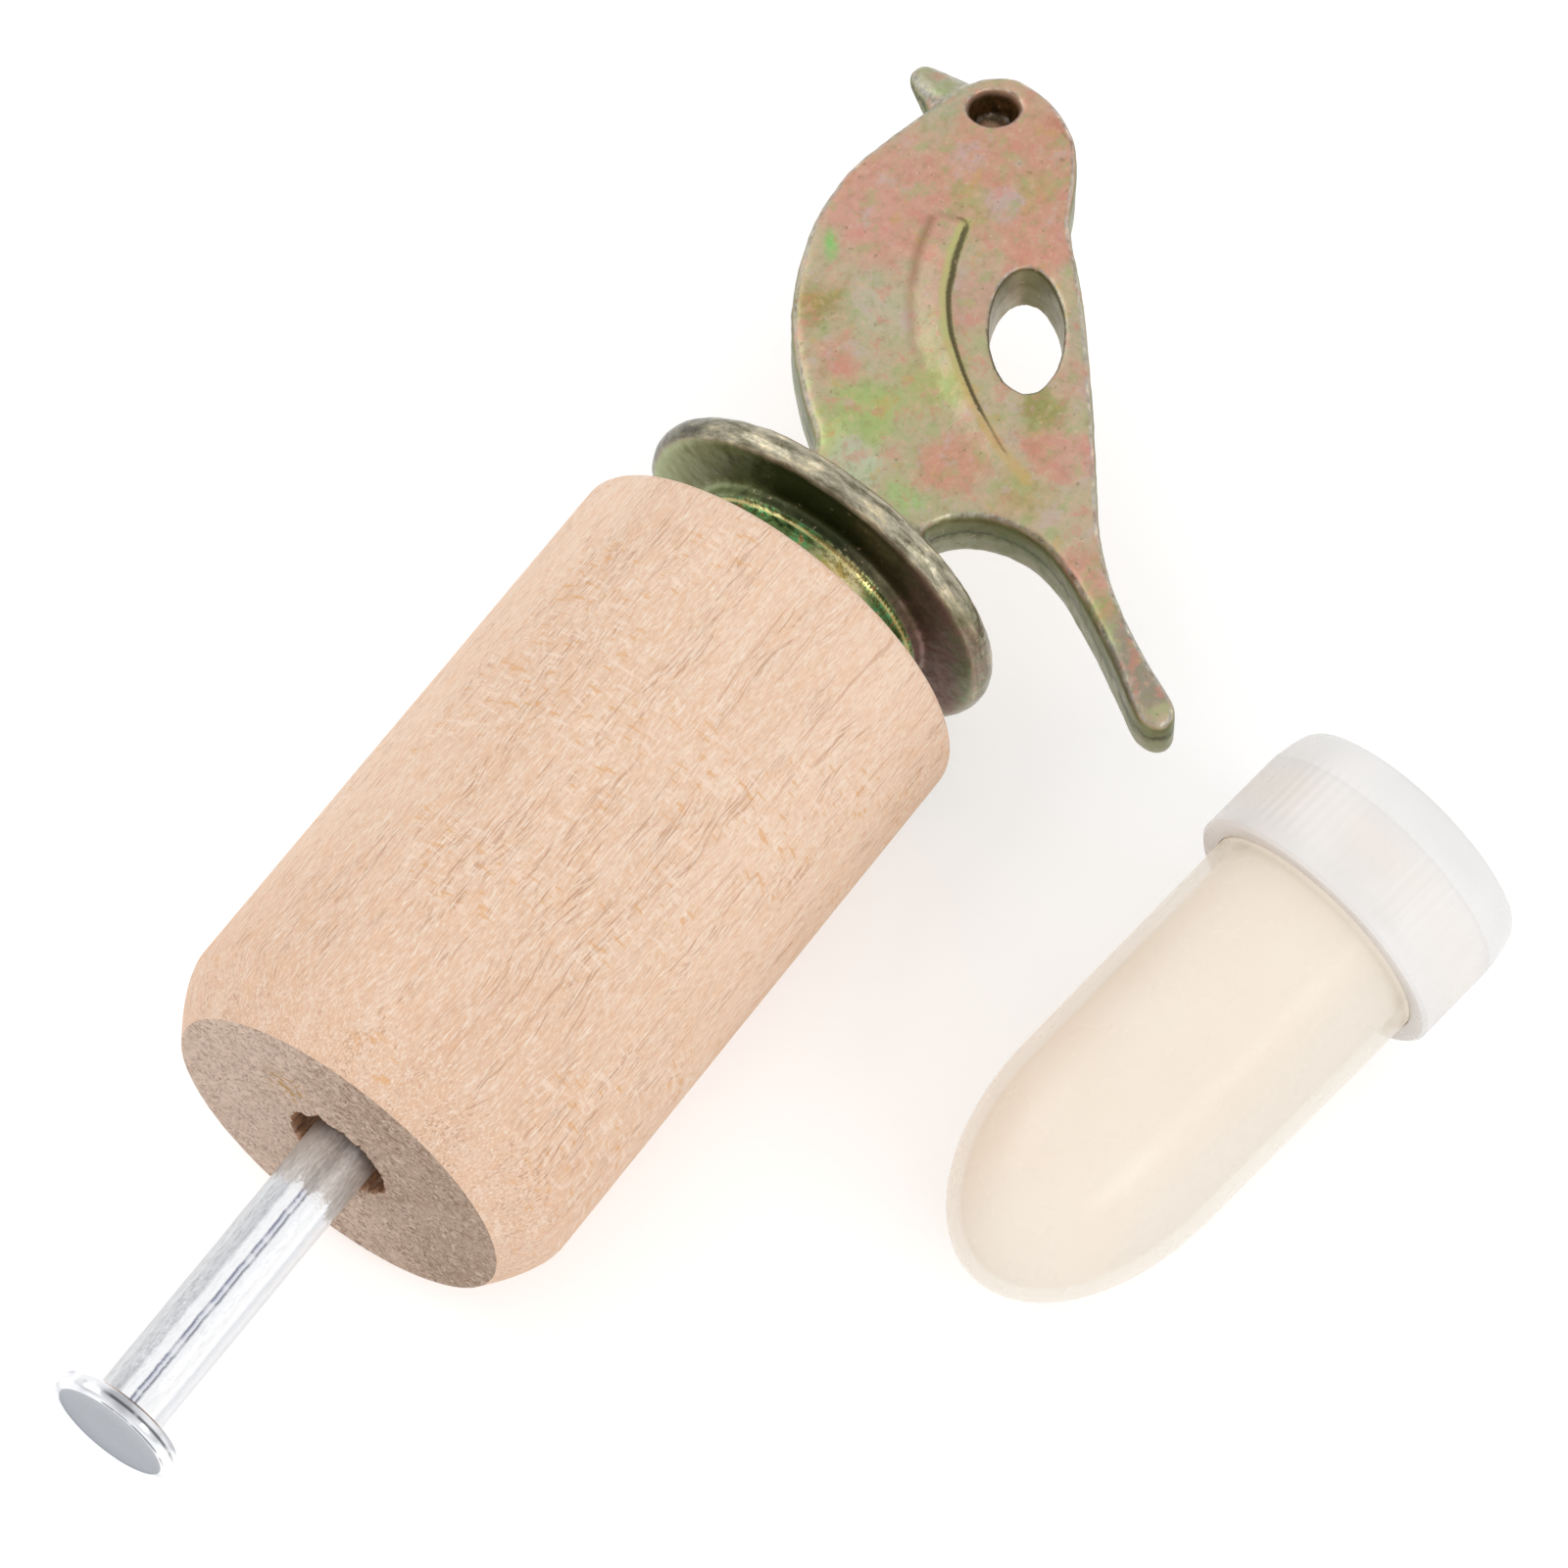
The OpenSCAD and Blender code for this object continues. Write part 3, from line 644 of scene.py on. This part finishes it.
def plated_finish():
    m, t, s = material("bright_plating")
    mm = mm_place(t)
    x, y, z = (axis_value(t, mm, k) for k in "XYZ")
    off_axis = distance_off_axis(t, mm)
    # Painted reflections: lengthwise grey and white bands and a dark pair of lines, told by the share of a
    # turn round the pin, slightly crinkled
    crinkle = cloud(t, (0.7, 0, 0), 6.0, 0.75)
    sway = times(t, minus(t, crinkle, 0.5), 0.024)
    turn = plus(t, times(t, math_node(t, "ARCTAN2", z, y), 1 / (2 * math.pi)), sway)
    around = math_node(t, "FRACT", plus(t, turn, 1.0))
    grain = cloud(t, (1.6, 6, 6), 5.0, 0.75)
    shank_reflections = ramp(t, around, [
        (0.0, *PIN_REFLECTION_DARK), (0.05, *PIN_REFLECTION_MID), (0.1, 198, 200, 202), (0.17, 216, 217, 219),
        (0.215, 196, 198, 202), (0.235, 246, 247, 248), (0.272, 250, 250, 252), (0.28, 92, 96, 122),
        (0.289, 206, 208, 222), (0.297, 232, 233, 240), (0.304, 110, 112, 126), (0.315, 244, 245, 248),
        (0.4, 252, 252, 252), (0.43, 212, 214, 218), (0.47, 232, 233, 235), (0.52, 206, 208, 212),
        (0.75, 224, 226, 228), (1.0, *PIN_REFLECTION_DARK)])
    # The dark pair of lines fades out in places
    gaps = span(t, cloud(t, (0.8, 0, 0), 3.0, 0.6, shift=(5, 0, 0)), 0.46, 0.6)
    shank_reflections = covered(t, shank_reflections, times(t, ring_mask(t, around, 0.292, 0.03), gaps), 0.75, (240, 241, 245))
    # Painted reflection: a satin grey stretch on one side of the pin
    satin_reflection = times(t, span(t, grain, 0.52, 0.38), span(t, around, 0.25, 0.2, 0.1, 0.5))
    shank_reflections = mix(t, satin_reflection, shank_reflections, (162, 164, 168))
    # The stretch that goes in and out of the wood has lost its shine
    ragged = cloud(t, (0.6, 1.2, 1.2), 4.0, 0.6, shift=(0, 3, 0))
    dull = span(t, plus(t, x, times(t, minus(t, ragged, 0.5), 4.5)), SCUFFED_X - 0.5, SCUFFED_X)
    scuffed = mix(t, span(t, grain, 0.35, 0.65), (182, 178, 174), (214, 210, 206))
    shank_reflections = covered(t, shank_reflections, dull, 0.85, scuffed)
    # Head: painted reflections, an even blue-grey face inside a bright rounded rim with a few dark arcs on
    # its upper side
    head = span(t, x, HEAD_UNDER_X + 0.3, HEAD_UNDER_X - 0.05)
    gleam = cloud(t, (0.8, 0.3, 0.3), 2.0, shift=(1, 3, 0))
    rim = ramp(t, gleam, [(0.36, 176, 178, 184), (0.46, 222, 224, 228), (0.55, 244, 245, 247)])
    upper = times(t, span(t, around, 0.14, 0.24), span(t, around, 0.52, 0.42))
    edge_arc = times(t, ring_mask(t, x, HEAD_X + 0.53, 0.16), span(t, off_axis, HEAD_R - 0.25, HEAD_R - 0.15))
    face_arc = ring_mask(t, off_axis, HEAD_R - 0.27, 0.12)
    reflected_arcs = times(t, math_node(t, "MAXIMUM", face_arc, edge_arc), upper)
    reflected_arcs = times(t, reflected_arcs, span(t, cloud(t, (0, 0.5, 0.5), 2.0), 0.38, 0.5))
    color = mix(t, head, shank_reflections, covered(t, rim, reflected_arcs, 0.85, (30, 32, 38)))
    face = times(t, span(t, x, HEAD_X + 0.25, HEAD_X + 0.13), span(t, off_axis, HEAD_R - 0.41, HEAD_R - 0.51))
    color = mix(t, face, color, mix(t, span(t, grain, 0.35, 0.65), (130, 135, 143), (138, 143, 151)))
    link(t, s.inputs["Base Color"], color)
    s.inputs["Metallic"].default_value = 1.0
    link(t, s.inputs["Roughness"], plus(t, span(t, grain, 0.3, 0.7, 0.1, 0.2), times(t, dull, 0.3)))
    fine = times(t, uneven(t, mm, 1.2, 5.0), minus(t, 1.0, head))
    bump(t, s, fine, 0.03 * MM, 0.5)
    return m


def vial_place(tree):
    """Coordinates along the vial's own axis, in millimetres from where its dome meets its tube."""
    coordinate = add(tree, "ShaderNodeTexCoord")
    m = add(tree, "ShaderNodeMapping", {"vector_type": "TEXTURE"}, Vector=coordinate.outputs["Object"])
    m.inputs["Location"].default_value = VIAL_SEAT
    m.inputs["Rotation"].default_value = (0, math.radians(-VIAL_TIP), math.radians(VIAL_TURN))
    m.inputs["Scale"].default_value = (MM, MM, MM)
    return m.outputs[0]


def tube_finish():
    m, t, s = material("milky_tube")
    along = plus(t, axis_value(t, vial_place(t), "X"), DOME_LEN)
    link(t, s.inputs["Base Color"], ramp(t, cloud(t, 0.1, 2.0), [(0.3, 250, 241, 230), (0.7, 251, 244, 236)]))
    link(t, s.inputs["Roughness"], span(t, cloud(t, 0.3), 0.3, 0.7, 0.24, 0.32))
    # Milky all over, and denser where the wall thickens towards the neck
    link(t, s.inputs["Alpha"], span(t, along, SKIRT_V - 0.4, SKIRT_V + 0.1, 0.5, 0.85))
    # Painted light: a faint warm glow stands in for light scattering inside the milky wall
    s.inputs["Emission Color"].default_value = (1.0, 0.92, 0.68, 1)
    s.inputs["Emission Strength"].default_value = 0.085
    s.inputs["Specular IOR Level"].default_value = 0.5
    return m


def cap_finish():
    m, t, s = material("milky_ribbed_cap")
    along = plus(t, axis_value(t, vial_place(t), "X"), DOME_LEN)
    # Cream powder and the seal inside tint the plastic a little
    color = ramp(t, span(t, along, SKIRT_V, CAP_TOP_V), [
        (0.0, 243, 239, 236), (0.2, 247, 241, 235), (0.5, 249, 242, 235),
        (0.7, 245, 241, 238), (0.76, 250, 248, 246), (1.0, 248, 246, 244)])
    veil = cloud(t, 0.15, 2.0)
    off_ridge = math_node(t, "ABSOLUTE", minus(t, along, CAP_BEVEL_V - 0.4))
    color = tinted(t, color, [
        (veil, 0.4, 0.65, 0.5, (250, 247, 245)), (off_ridge, 0.16, 0.04, 0.35, (232, 230, 228))])
    link(t, s.inputs["Base Color"], color)
    link(t, s.inputs["Roughness"], span(t, cloud(t, 0.4), 0.3, 0.7, 0.26, 0.36))
    link(t, s.inputs["Alpha"], span(t, veil, 0.3, 0.7, 0.9, 0.96))
    s.inputs["Specular IOR Level"].default_value = 0.5
    bump(t, s, uneven(t, mm_place(t), 0.3, 2.4, 0.3), 0.01 * MM, 0.3)
    return m


def powder_finish():
    m, t, s = material("packed_cream_powder")
    mm, at = mm_place(t), vial_place(t)
    drift = cloud(t, 0.17, 3.0, 0.5, 0.4)
    color = ramp(t, drift, [(0.3, 253, 236, 216), (0.5, 253, 240, 225), (0.7, 254, 245, 234)])
    color = covered(t, color, specks(t, mm, 1.6, 0.66, 0.05), 0.15, (240, 220, 192))
    # Paler against the dome's tip, and a cool painted shade along the side away from the call
    color = tinted(t, color, [
        (axis_value(t, at, "X"), -5.0, -10.0, 0.6, (254, 249, 244)),
        (axis_value(t, at, "Y"), -4.4, -5.6, 0.6, (226, 226, 230)),
    ])
    link(t, s.inputs["Base Color"], color)
    s.inputs["Roughness"].default_value = 0.9
    bump(t, s, uneven(t, mm, 0.5, 2.6), 0.03 * MM, 0.3)
    return m


def foam_finish():
    m, t, s = material("white_foam_disc")
    color = ramp(t, cloud(t, 0.9, 2.0), [(0.35, 236, 232, 226), (0.65, 244, 242, 238)])
    link(t, s.inputs["Base Color"], color)
    s.inputs["Roughness"].default_value = 0.85
    bump(t, s, uneven(t, mm_place(t), 0.9, 3.5), 0.05 * MM, 0.5)
    return m


# The call

def make_barrel():
    start, end = NEAR_X + NEAR_BEVEL, FAR_X - FAR_EDGE
    bottom = FAR_X - BORE_DEPTH
    profile = [(NEAR_X + NEAR_BEVEL * k / 10, WOOD_R - NEAR_DROP * (1 - k / 10) ** 1.5) for k in range(11)]
    profile += [(start + (end - start) * k / 24, WOOD_R) for k in range(1, 24)]
    profile += arc(end, WOOD_R - FAR_EDGE, FAR_EDGE, 0, 90, 5)
    profile += [(FAR_X, BORE_R + 0.15), (FAR_X - 0.15, BORE_R), (FAR_X - BORE_DEPTH / 2, BORE_R)]
    profile += [(bottom, BORE_R), (bottom, PIN_HOLE_R)]
    profile += [(NEAR_X + d, PIN_HOLE_R) for d in (12, 6, 3, 2.2, 1.6, 1.2, 0.9, 0.6, 0.4, 0.2)]
    profile += [(NEAR_X, PIN_HOLE_R + d) for d in (0.08, 0.22, 0.4)]
    profile += [(NEAR_X, PIN_HOLE_R + 0.65 + 0.25 * k) for k in range(27)]
    obj = turned("wood_barrel", profile, 256, closed=True)
    # The drill left the hole's rim ragged
    for v in obj.data.vertices:
        p = v.co / MM
        r = math.hypot(p.y, p.z)
        if p.x < NEAR_X + TORN_LEN and PIN_HOLE_R - 0.1 < r < PIN_HOLE_R + 1.0:
            q = math.atan2(p.z, p.y)
            ring = Vector((math.cos(q), math.sin(q), 0))
            torn = noise.noise(ring * 4 + Vector((0, 0, p.x * 0.6)))
            torn += 0.6 * noise.noise(ring * 14 + Vector((0, 0, p.x)))
            depth = max(0.0, 1 - (p.x - NEAR_X) / TORN_LEN) * max(0.0, 1 - (r - PIN_HOLE_R) / 0.9)
            push = 0.42 * torn * depth * MM
            v.co.y += math.cos(q) * push
            v.co.z += math.sin(q) * push
            if r < PIN_HOLE_R + 0.5:
                v.co.x += 0.22 * max(0.0, torn + 0.15) * depth * MM
    roughen(obj, 0.8, 0.05, 3, where=lambda p, n: 1.0 if n.x < -0.95 else 0.25)
    roughen(obj, 0.4, 0.06, 4, where=lambda p, n: 1.0 if n.x < -0.95 else 0.0)
    smooth(obj, 35)
    finish_piece(obj, "barrel", wood_finish(), "wood", "barrel")


def make_pin():
    start, end = HEAD_UNDER_X + 0.35, PIN_END_X - 0.5
    profile = [(HEAD_X + 0.06, 0.0), (HEAD_X + 0.06, 1.6), (HEAD_X + 0.06, 3.1), (HEAD_X + 0.04, 3.3)]
    profile += arc(HEAD_X + HEAD_EDGE, HEAD_R - HEAD_EDGE, HEAD_EDGE, -90, 0, 8)
    profile += arc(HEAD_UNDER_X - 0.3, HEAD_R - 0.3, 0.3, 0, 90, 6)
    profile += [(HEAD_UNDER_X, 2.45), (HEAD_UNDER_X + 0.15, 2.15), (start, PIN_R)]
    profile += [(start + (end - start) * k / 28, PIN_R) for k in range(1, 29)]
    profile += [(PIN_END_X, PIN_R - 0.5), (PIN_END_X, 0.0)]
    obj = turned("plated_pin", profile, 128)
    roughen(obj, 2.2, 0.025, 11, where=lambda p, n: 1.0 if p.x > HEAD_UNDER_X else 0.3)
    smooth(obj, 35)
    finish_piece(obj, "pin", plated_finish(), "pin", "retaining_pin")


def near_line(p, line):
    """Distance from a point to a line, the share along it, and whether the point is on the breast's side."""
    gap, at, breast_side = 1e9, 0.0, True
    for k, (a, b) in enumerate(zip(line, line[1:])):
        d = b - a
        t = min(1.0, max(0.0, (p - a).dot(d) / d.length_squared))
        off = (p - a - d * t).length
        if off < gap:
            gap, at = off, (k + t) / (len(line) - 1)
            breast_side = d.x * (p - a).y - d.y * (p - a).x < 0
    return gap, at, breast_side


def ease(value, low, high):
    t = min(1.0, max(0.0, (value - low) / (high - low)))
    return t * t * (3 - 2 * t)


def mark_plate(here, p, n):
    """Which places of the bird-shaped plate are wall, edge with wear and painted sheen, wing with painted
    highlight and shade, or hollows with painted shade.
    """
    up = abs(n.z)
    flat = Vector((p.x, p.y))
    depth = PLATE_HALF - abs(p.z)
    here["side"] = 1 - ease(up, 0.3, 0.62)
    # Wear and painted sheen along the rounded edges
    here["edge_wear_and_sheen"] = 0.9 * max(0.0, 1 - abs(up - 0.7) / 0.22)
    if abs(p.y) < FLANGE_R:
        # The rounded foot of the plate isn't an edge
        here["edge_wear_and_sheen"] *= ease(p.x, FLANGE_TOP_X + 2.2, FLANGE_TOP_X + 3.4)
    gap, at, breast_side = near_line(flat, WING_CREST)
    if gap < WING_REACH and depth < 0.45:
        fade = ease(gap, WING_REACH, 2.0)
        here["side"] *= 1 - fade
        here["edge_wear_and_sheen"] *= 1 - fade
        # Painted highlight along the crest and painted shade on the steep wall
        here["crest"] = ease(gap, 0.5, 0.2) * (1 - 0.4 * at)
        here["wall"] = ease(up, 0.93, 0.75) * fade
        if breast_side:
            # Painted shade along the wing's soft far edge, and along its cut-off top
            here["brow_shade"] = ease(at, 0.62, 0.2) * ease(at, 0.0, 0.02) * max(0.0, 1 - abs(gap - 1.95) / 0.5)
            beyond = (flat - WING_CREST[0]).dot((WING_CREST[0] - WING_CREST[1]).normalized())
            here["brow_shade"] = max(here["brow_shade"], 0.45 * ease(abs(beyond), 0.4, 0.1) * ease(gap, 2.3, 1.6))
    # Painted shade inside the eye
    if (flat - EYE).length < EYE_REACH:
        # Painted light: a paler spot on its floor at the lower side
        spot = (flat - EYE - Vector((-0.4, -0.05))).length
        here["side"] = 0.0
        here["hollow_shade"] = ease(depth, 0.25, 0.7) * (1 - 0.9 * ease(depth, 1.7, 1.95) * ease(spot, 0.85, 0.5))
    if (flat - OVAL).length < OVAL_REACH and up < 0.8:
        # Painted shade on the hole's walls, darkest at the end near the head
        here["side"] *= 0.7
        here["hollow_shade"] = 0.75 * ease(n.x, -0.45, -0.95)


def mark_turned(here, p, n):
    """Which places of the flange, shoulder and plug are rim, underside with painted shade and reflections, or
    bright turning.
    """
    r = math.hypot(p.y, p.z)
    if r > 10.2 and p.x > FLANGE_X - 0.2:
        here["rim"] = ease(r, 10.3, 10.75)
    elif p.x > FLANGE_X + 0.5:
        here["side"] = 0.35
    if n.x < -0.4 and p.x < FLANGE_X + 0.9 and r > SHOULDER_R - 0.1:
        here["under"] = ease(r, FLANGE_R - 0.3, FLANGE_R - 0.7)
        here["rim"] *= 1 - here["under"]
    if p.x < SHOULDER_X + 0.05 and r < SHOULDER_R + 0.25:
        here["bright"] = 1.0
        here["side"] = 0.0
    elif p.x < FLANGE_X + 0.05 and r < SHOULDER_R + 0.25:
        here["under"] = 1.0


def make_bird():
    obj = new_object("bird_casting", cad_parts["bird_handle"].data.copy())
    only(obj)
    bpy.ops.object.mode_set(mode="EDIT")
    merge_points()
    modifier(obj, "REMESH", mode="VOXEL", voxel_size=0.19 * MM)
    modifier(obj, "SMOOTH", factor=0.5, iterations=8)
    mesh = obj.data
    # The tail's tip is filed a little shorter and thinner
    for v in mesh.vertices:
        share = ease(-v.co.y / MM, 17.0, 21.8)
        if share:
            v.co += TAIL_SHORTER * share * MM
            v.co.z *= 1 - TAIL_THINNER * share
    # The eye is a little wider than high, as the picture shows it
    wide = CAMERA_RIGHT.xy
    high = Vector((-wide.y, wide.x))
    for v in mesh.vertices:
        off = v.co.xy / MM - EYE
        share = ease(off.length, 2.5, 1.6)
        if share:
            moved = wide * off.dot(wide) * EYE_WIDER + high * (off.dot(high) * EYE_LOWER + EYE_SHIFT)
            v.co += Vector((*(moved - off), 0)) * share * MM
    roughen(obj, 1.6, 0.035, 5)
    roughen(obj, 0.6, 0.025, 9, where=lambda p, n: 1.0 if p.x < 27.5 or abs(n.z) < 0.8 else 0.35)
    # The plug stays clear of its bore, and the shoulder of the wood
    for v in mesh.vertices:
        x, r = v.co.x / MM, math.hypot(v.co.y, v.co.z) / MM
        if x < SHOULDER_X - 0.1 and r > PLUG_CLEAR_R:
            widen(v, PLUG_CLEAR_R / r)
        elif SHOULDER_X - 0.3 < x < SHOULDER_X + 0.02 and r > PLUG_CLEAR_R - 0.1:
            v.co.x = (SHOULDER_X + 0.02) * MM
    names = ("side", "edge_wear_and_sheen", "crest", "wall", "brow_shade", "hollow_shade", "under", "bright", "rim")
    marks = []
    for v in mesh.vertices:
        p, n = v.co / MM, v.normal
        here = dict.fromkeys(names, 0.0)
        if p.x > FLANGE_TOP_X + 1.6 or abs(p.y) > FLANGE_R + 0.6:
            mark_plate(here, p, n)
        else:
            mark_turned(here, p, n)
        marks.append(here)
    for name in names:
        layer = mesh.attributes.new(name, "FLOAT", "POINT")
        layer.data.foreach_set("value", [here[name] for here in marks])
    only(obj)
    bpy.ops.object.shade_smooth()
    finish_piece(obj, "handle", chromate_finish(), "casting", "bird_handle")


# The vial

def lay_down(obj):
    """Puts a piece drawn along the vial's own axis where the vial lies."""
    only(obj)
    obj.matrix_world = VIAL @ obj.matrix_world
    bpy.ops.object.transform_apply()


def dome(length, radius, start, steps):
    """Profile points of a domed end, from its tip."""
    out = []
    for k in range(steps + 1):
        q = math.pi / 2 * k / steps
        out.append((start + length * (1 - math.cos(q)), radius * math.sin(q)))
    return out


def add_thread(obj, name, radius, first_turn):
    """Joins one round ridge of a right-handed screw thread to a piece."""
    curve = bpy.data.curves.new(name, "CURVE")
    curve.dimensions = "3D"
    curve.bevel_depth = THREAD_DEPTH * MM
    curve.bevel_resolution = 3
    curve.use_fill_caps = True
    spline = curve.splines.new("POLY")
    steps = 96
    spline.points.add(steps)
    for k in range(steps + 1):
        turns = THREAD_TURNS * k / steps
        q = math.radians(first_turn) + 2 * math.pi * turns
        along = THREAD_V + THREAD_LEAD * turns
        spline.points[k].co = (along * MM, radius * math.cos(q) * MM, radius * math.sin(q) * MM, 1)
        spline.points[k].radius = min(1.0, (k + 1) / 8, (steps - k + 1) / 8)
    only(new_object(name, curve))
    bpy.ops.object.convert(target="MESH")
    ridge = bpy.context.object
    only(obj)
    ridge.select_set(True)
    bpy.ops.object.join()


def make_tube():
    in_neck_r = NECK_R - TUBE_WALL
    profile = dome(DOME_LEN, TUBE_R, 0, 28)
    profile += [(TUBE_MID_V, TUBE_MID_R), (22, 7.06), (NECK_BASE_V - 0.2, TUBE_TOP_R)]
    profile += [(NECK_BASE_V, TUBE_TOP_R - 0.2), (NECK_BASE_V, NECK_R), (30, NECK_R)]
    profile += [(NECK_TOP_V - 0.15, NECK_R), (NECK_TOP_V, NECK_R - 0.15), (NECK_TOP_V, in_neck_r + 0.1)]
    profile += [(NECK_TOP_V - 0.1, in_neck_r), (NECK_BASE_V, in_neck_r)]
    profile += [(NECK_BASE_V - TUBE_WALL, TUBE_TOP_R - TUBE_WALL), (TUBE_MID_V, TUBE_MID_R - TUBE_WALL)]
    profile += reversed(dome(DOME_LEN - TUBE_WALL, TUBE_R - TUBE_WALL, TUBE_WALL, 22))
    obj = turned("vial_shell", profile, 128)
    add_thread(obj, "neck_thread", NECK_R + 0.2, 0)
    lay_down(obj)
    smooth(obj, 40)
    finish_piece(obj, "vial", tube_finish(), "tube", "vial_tube")


def make_powder():
    shell = TUBE_WALL + POWDER_GAP
    profile = dome(DOME_LEN - shell, TUBE_R - shell, shell, 28)
    profile += [(TUBE_MID_V, TUBE_MID_R - shell), (22, 7.05 - shell)]
    profile += [(NECK_BASE_V - shell - 0.2, TUBE_TOP_R - shell - 0.02), (NECK_BASE_V - 0.2, NECK_R - shell)]
    profile += [(POWDER_TOP_V - 0.1, NECK_R - shell)]
    profile += [(POWDER_TOP_V, radius) for radius in (5.0, 3.5, 2.0, 0.0)]
    obj = turned("rosin_fill", profile, 96)
    # The heap's top is uneven, and its sides lie flat against the tube
    roughen(obj, 2.4, 0.12, 21, where=lambda p, n: n.x if n.x > 0.7 else 0.0)
    lay_down(obj)
    smooth(obj, 50)
    finish_piece(obj, "vial", powder_finish(), "rosin", "rosin_powder")


def make_cap():
    band, rib_r, lip_r = SKIRT_V + 1.0, CAP_R - 0.07, TUBE_TOP_R + 0.06
    profile = [(CAP_FLOOR_V, 0), (CAP_FLOOR_V, CAP_BORE_R - 0.3), (CAP_FLOOR_V - 0.1, CAP_BORE_R)]
    profile += [(31, CAP_BORE_R), (SKIRT_V + 0.8, CAP_BORE_R)]
    profile += [(SKIRT_V + 0.45, lip_r), (SKIRT_V + 0.05, lip_r)]
    profile += [(SKIRT_V, TUBE_TOP_R + 0.12), (SKIRT_V, CAP_R - 0.2), (SKIRT_V + 0.2, CAP_R)]
    profile += [(band - 0.15, CAP_R), (band, rib_r)]
    profile += [(band + (CAP_BEVEL_V - 0.2 - band) * k / 8, rib_r) for k in range(1, 9)]
    profile += [(CAP_BEVEL_V, rib_r)]
    # The rounded edge of the top
    edge = ((33.1, 0.06), (33.8, 0.16), (34.5, 0.33), (34.75, 0.42), (34.98, 0.58))
    profile += [(along, CAP_R - drop) for along, drop in edge]
    profile += [(CAP_TOP_V, radius) for radius in (CAP_R - 0.85, 6.2, 4.2, 0)]
    obj = turned("vial_lid", profile, RIBS * 4)
    # Fine shallow ribs round the skirt
    for v in obj.data.vertices:
        p = v.co / MM
        r = math.hypot(p.y, p.z)
        if band - 0.05 < p.x < CAP_BEVEL_V + 0.05 and r > CAP_R - 0.2:
            wave = 0.5 + 0.5 * math.cos(math.atan2(p.z, p.y) * RIBS)
            widen(v, 1 + RIB_HEIGHT * wave / r)
    add_thread(obj, "cap_thread", CAP_BORE_R - 0.2, 180)
    lay_down(obj)
    smooth(obj, 40)
    finish_piece(obj, "cap", cap_finish(), "cap", "vial_cap")


def make_liner():
    low, high = LINER_V
    profile = [(low, 0), (low, LINER_R - 0.25), (low + 0.1, LINER_R - 0.05), (low + 0.4, LINER_R)]
    profile += [(high - 0.1, LINER_R - 0.05), (high, LINER_R - 0.25), (high, 3.5), (high, 0)]
    obj = turned("sealing_disc", profile, 96)
    lay_down(obj)
    smooth(obj, 40)
    finish_piece(obj, "liner", foam_finish(), "liner", "cap_liner")


# Floor, light and camera

def seen_ray(tree):
    """1 for what the camera sees, straight, in a gloss or through a wall, and 0 for other rays."""
    path = add(tree, "ShaderNodeLightPath").outputs
    beyond = math_node(tree, "MAXIMUM", path["Is Glossy Ray"], path["Is Transmission Ray"])
    return math_node(tree, "MAXIMUM", path["Is Camera Ray"], beyond)


def make_floor():
    deselect()
    bpy.ops.mesh.primitive_plane_add(size=6, location=(0, 0, FLOOR_Z))
    floor = bpy.context.object
    floor.name = "floor"
    m = bpy.data.materials.new("pale_floor")
    m.use_nodes = True
    t = m.node_tree
    t.nodes.clear()
    diffuse = add(t, "ShaderNodeBsdfDiffuse", Color=(FLOOR_WHITE, FLOOR_WHITE, FLOOR_WHITE, 1))
    glow = add(t, "ShaderNodeEmission", Color=(1, 1, 1, 1), Strength=times(t, seen_ray(t), FLOOR_GLOW))
    both = add(t, "ShaderNodeAddShader", values=(diffuse.outputs[0], glow.outputs[0]))
    add(t, "ShaderNodeOutputMaterial", Surface=both.outputs[0])
    floor.data.materials.append(m)


def make_light():
    world = bpy.data.worlds.new("studio")
    bpy.context.scene.world = world
    world.use_nodes = True
    t = world.node_tree
    t.nodes.clear()
    soft = add(t, "ShaderNodeBackground", Color=(1, 1, 1, 1), Strength=SKY_LIGHT)
    white = add(t, "ShaderNodeBackground", Color=(1, 1, 1, 1), Strength=1.0)
    either = add(t, "ShaderNodeMixShader", values=(seen_ray(t), soft.outputs[0], white.outputs[0]))
    add(t, "ShaderNodeOutputWorld", Surface=either.outputs[0])
    for name, at, size, power in LAMPS:
        lamp = bpy.data.lights.new(name, "AREA")
        lamp.shape = "RECTANGLE"
        lamp.size, lamp.size_y = size
        lamp.energy = power
        aim = (at - LAMP_AIM).normalized()
        along = Vector((1, 0, 0)) - aim * aim.x
        along.normalize()
        turn = Matrix((along, aim.cross(along), aim)).transposed().to_4x4()
        new_object(name, lamp).matrix_world = Matrix.Translation(at) @ turn


def make_camera():
    data = bpy.data.cameras.new("camera")
    data.sensor_width = 36
    data.lens = CAMERA_LENS
    data.clip_start, data.clip_end = 0.01, 20
    camera = new_object("camera", data)
    turn = Matrix((CAMERA_RIGHT, CAMERA_UP, CAMERA_BACK)).transposed().to_4x4()
    camera.matrix_world = Matrix.Translation(CAMERA_AT) @ turn
    bpy.context.scene.camera = camera


make_camera()
make_barrel()
make_pin()
make_bird()
make_tube()
make_powder()
make_cap()
make_liner()
make_floor()
make_light()
bpy.context.scene.view_settings.view_transform = "Standard"
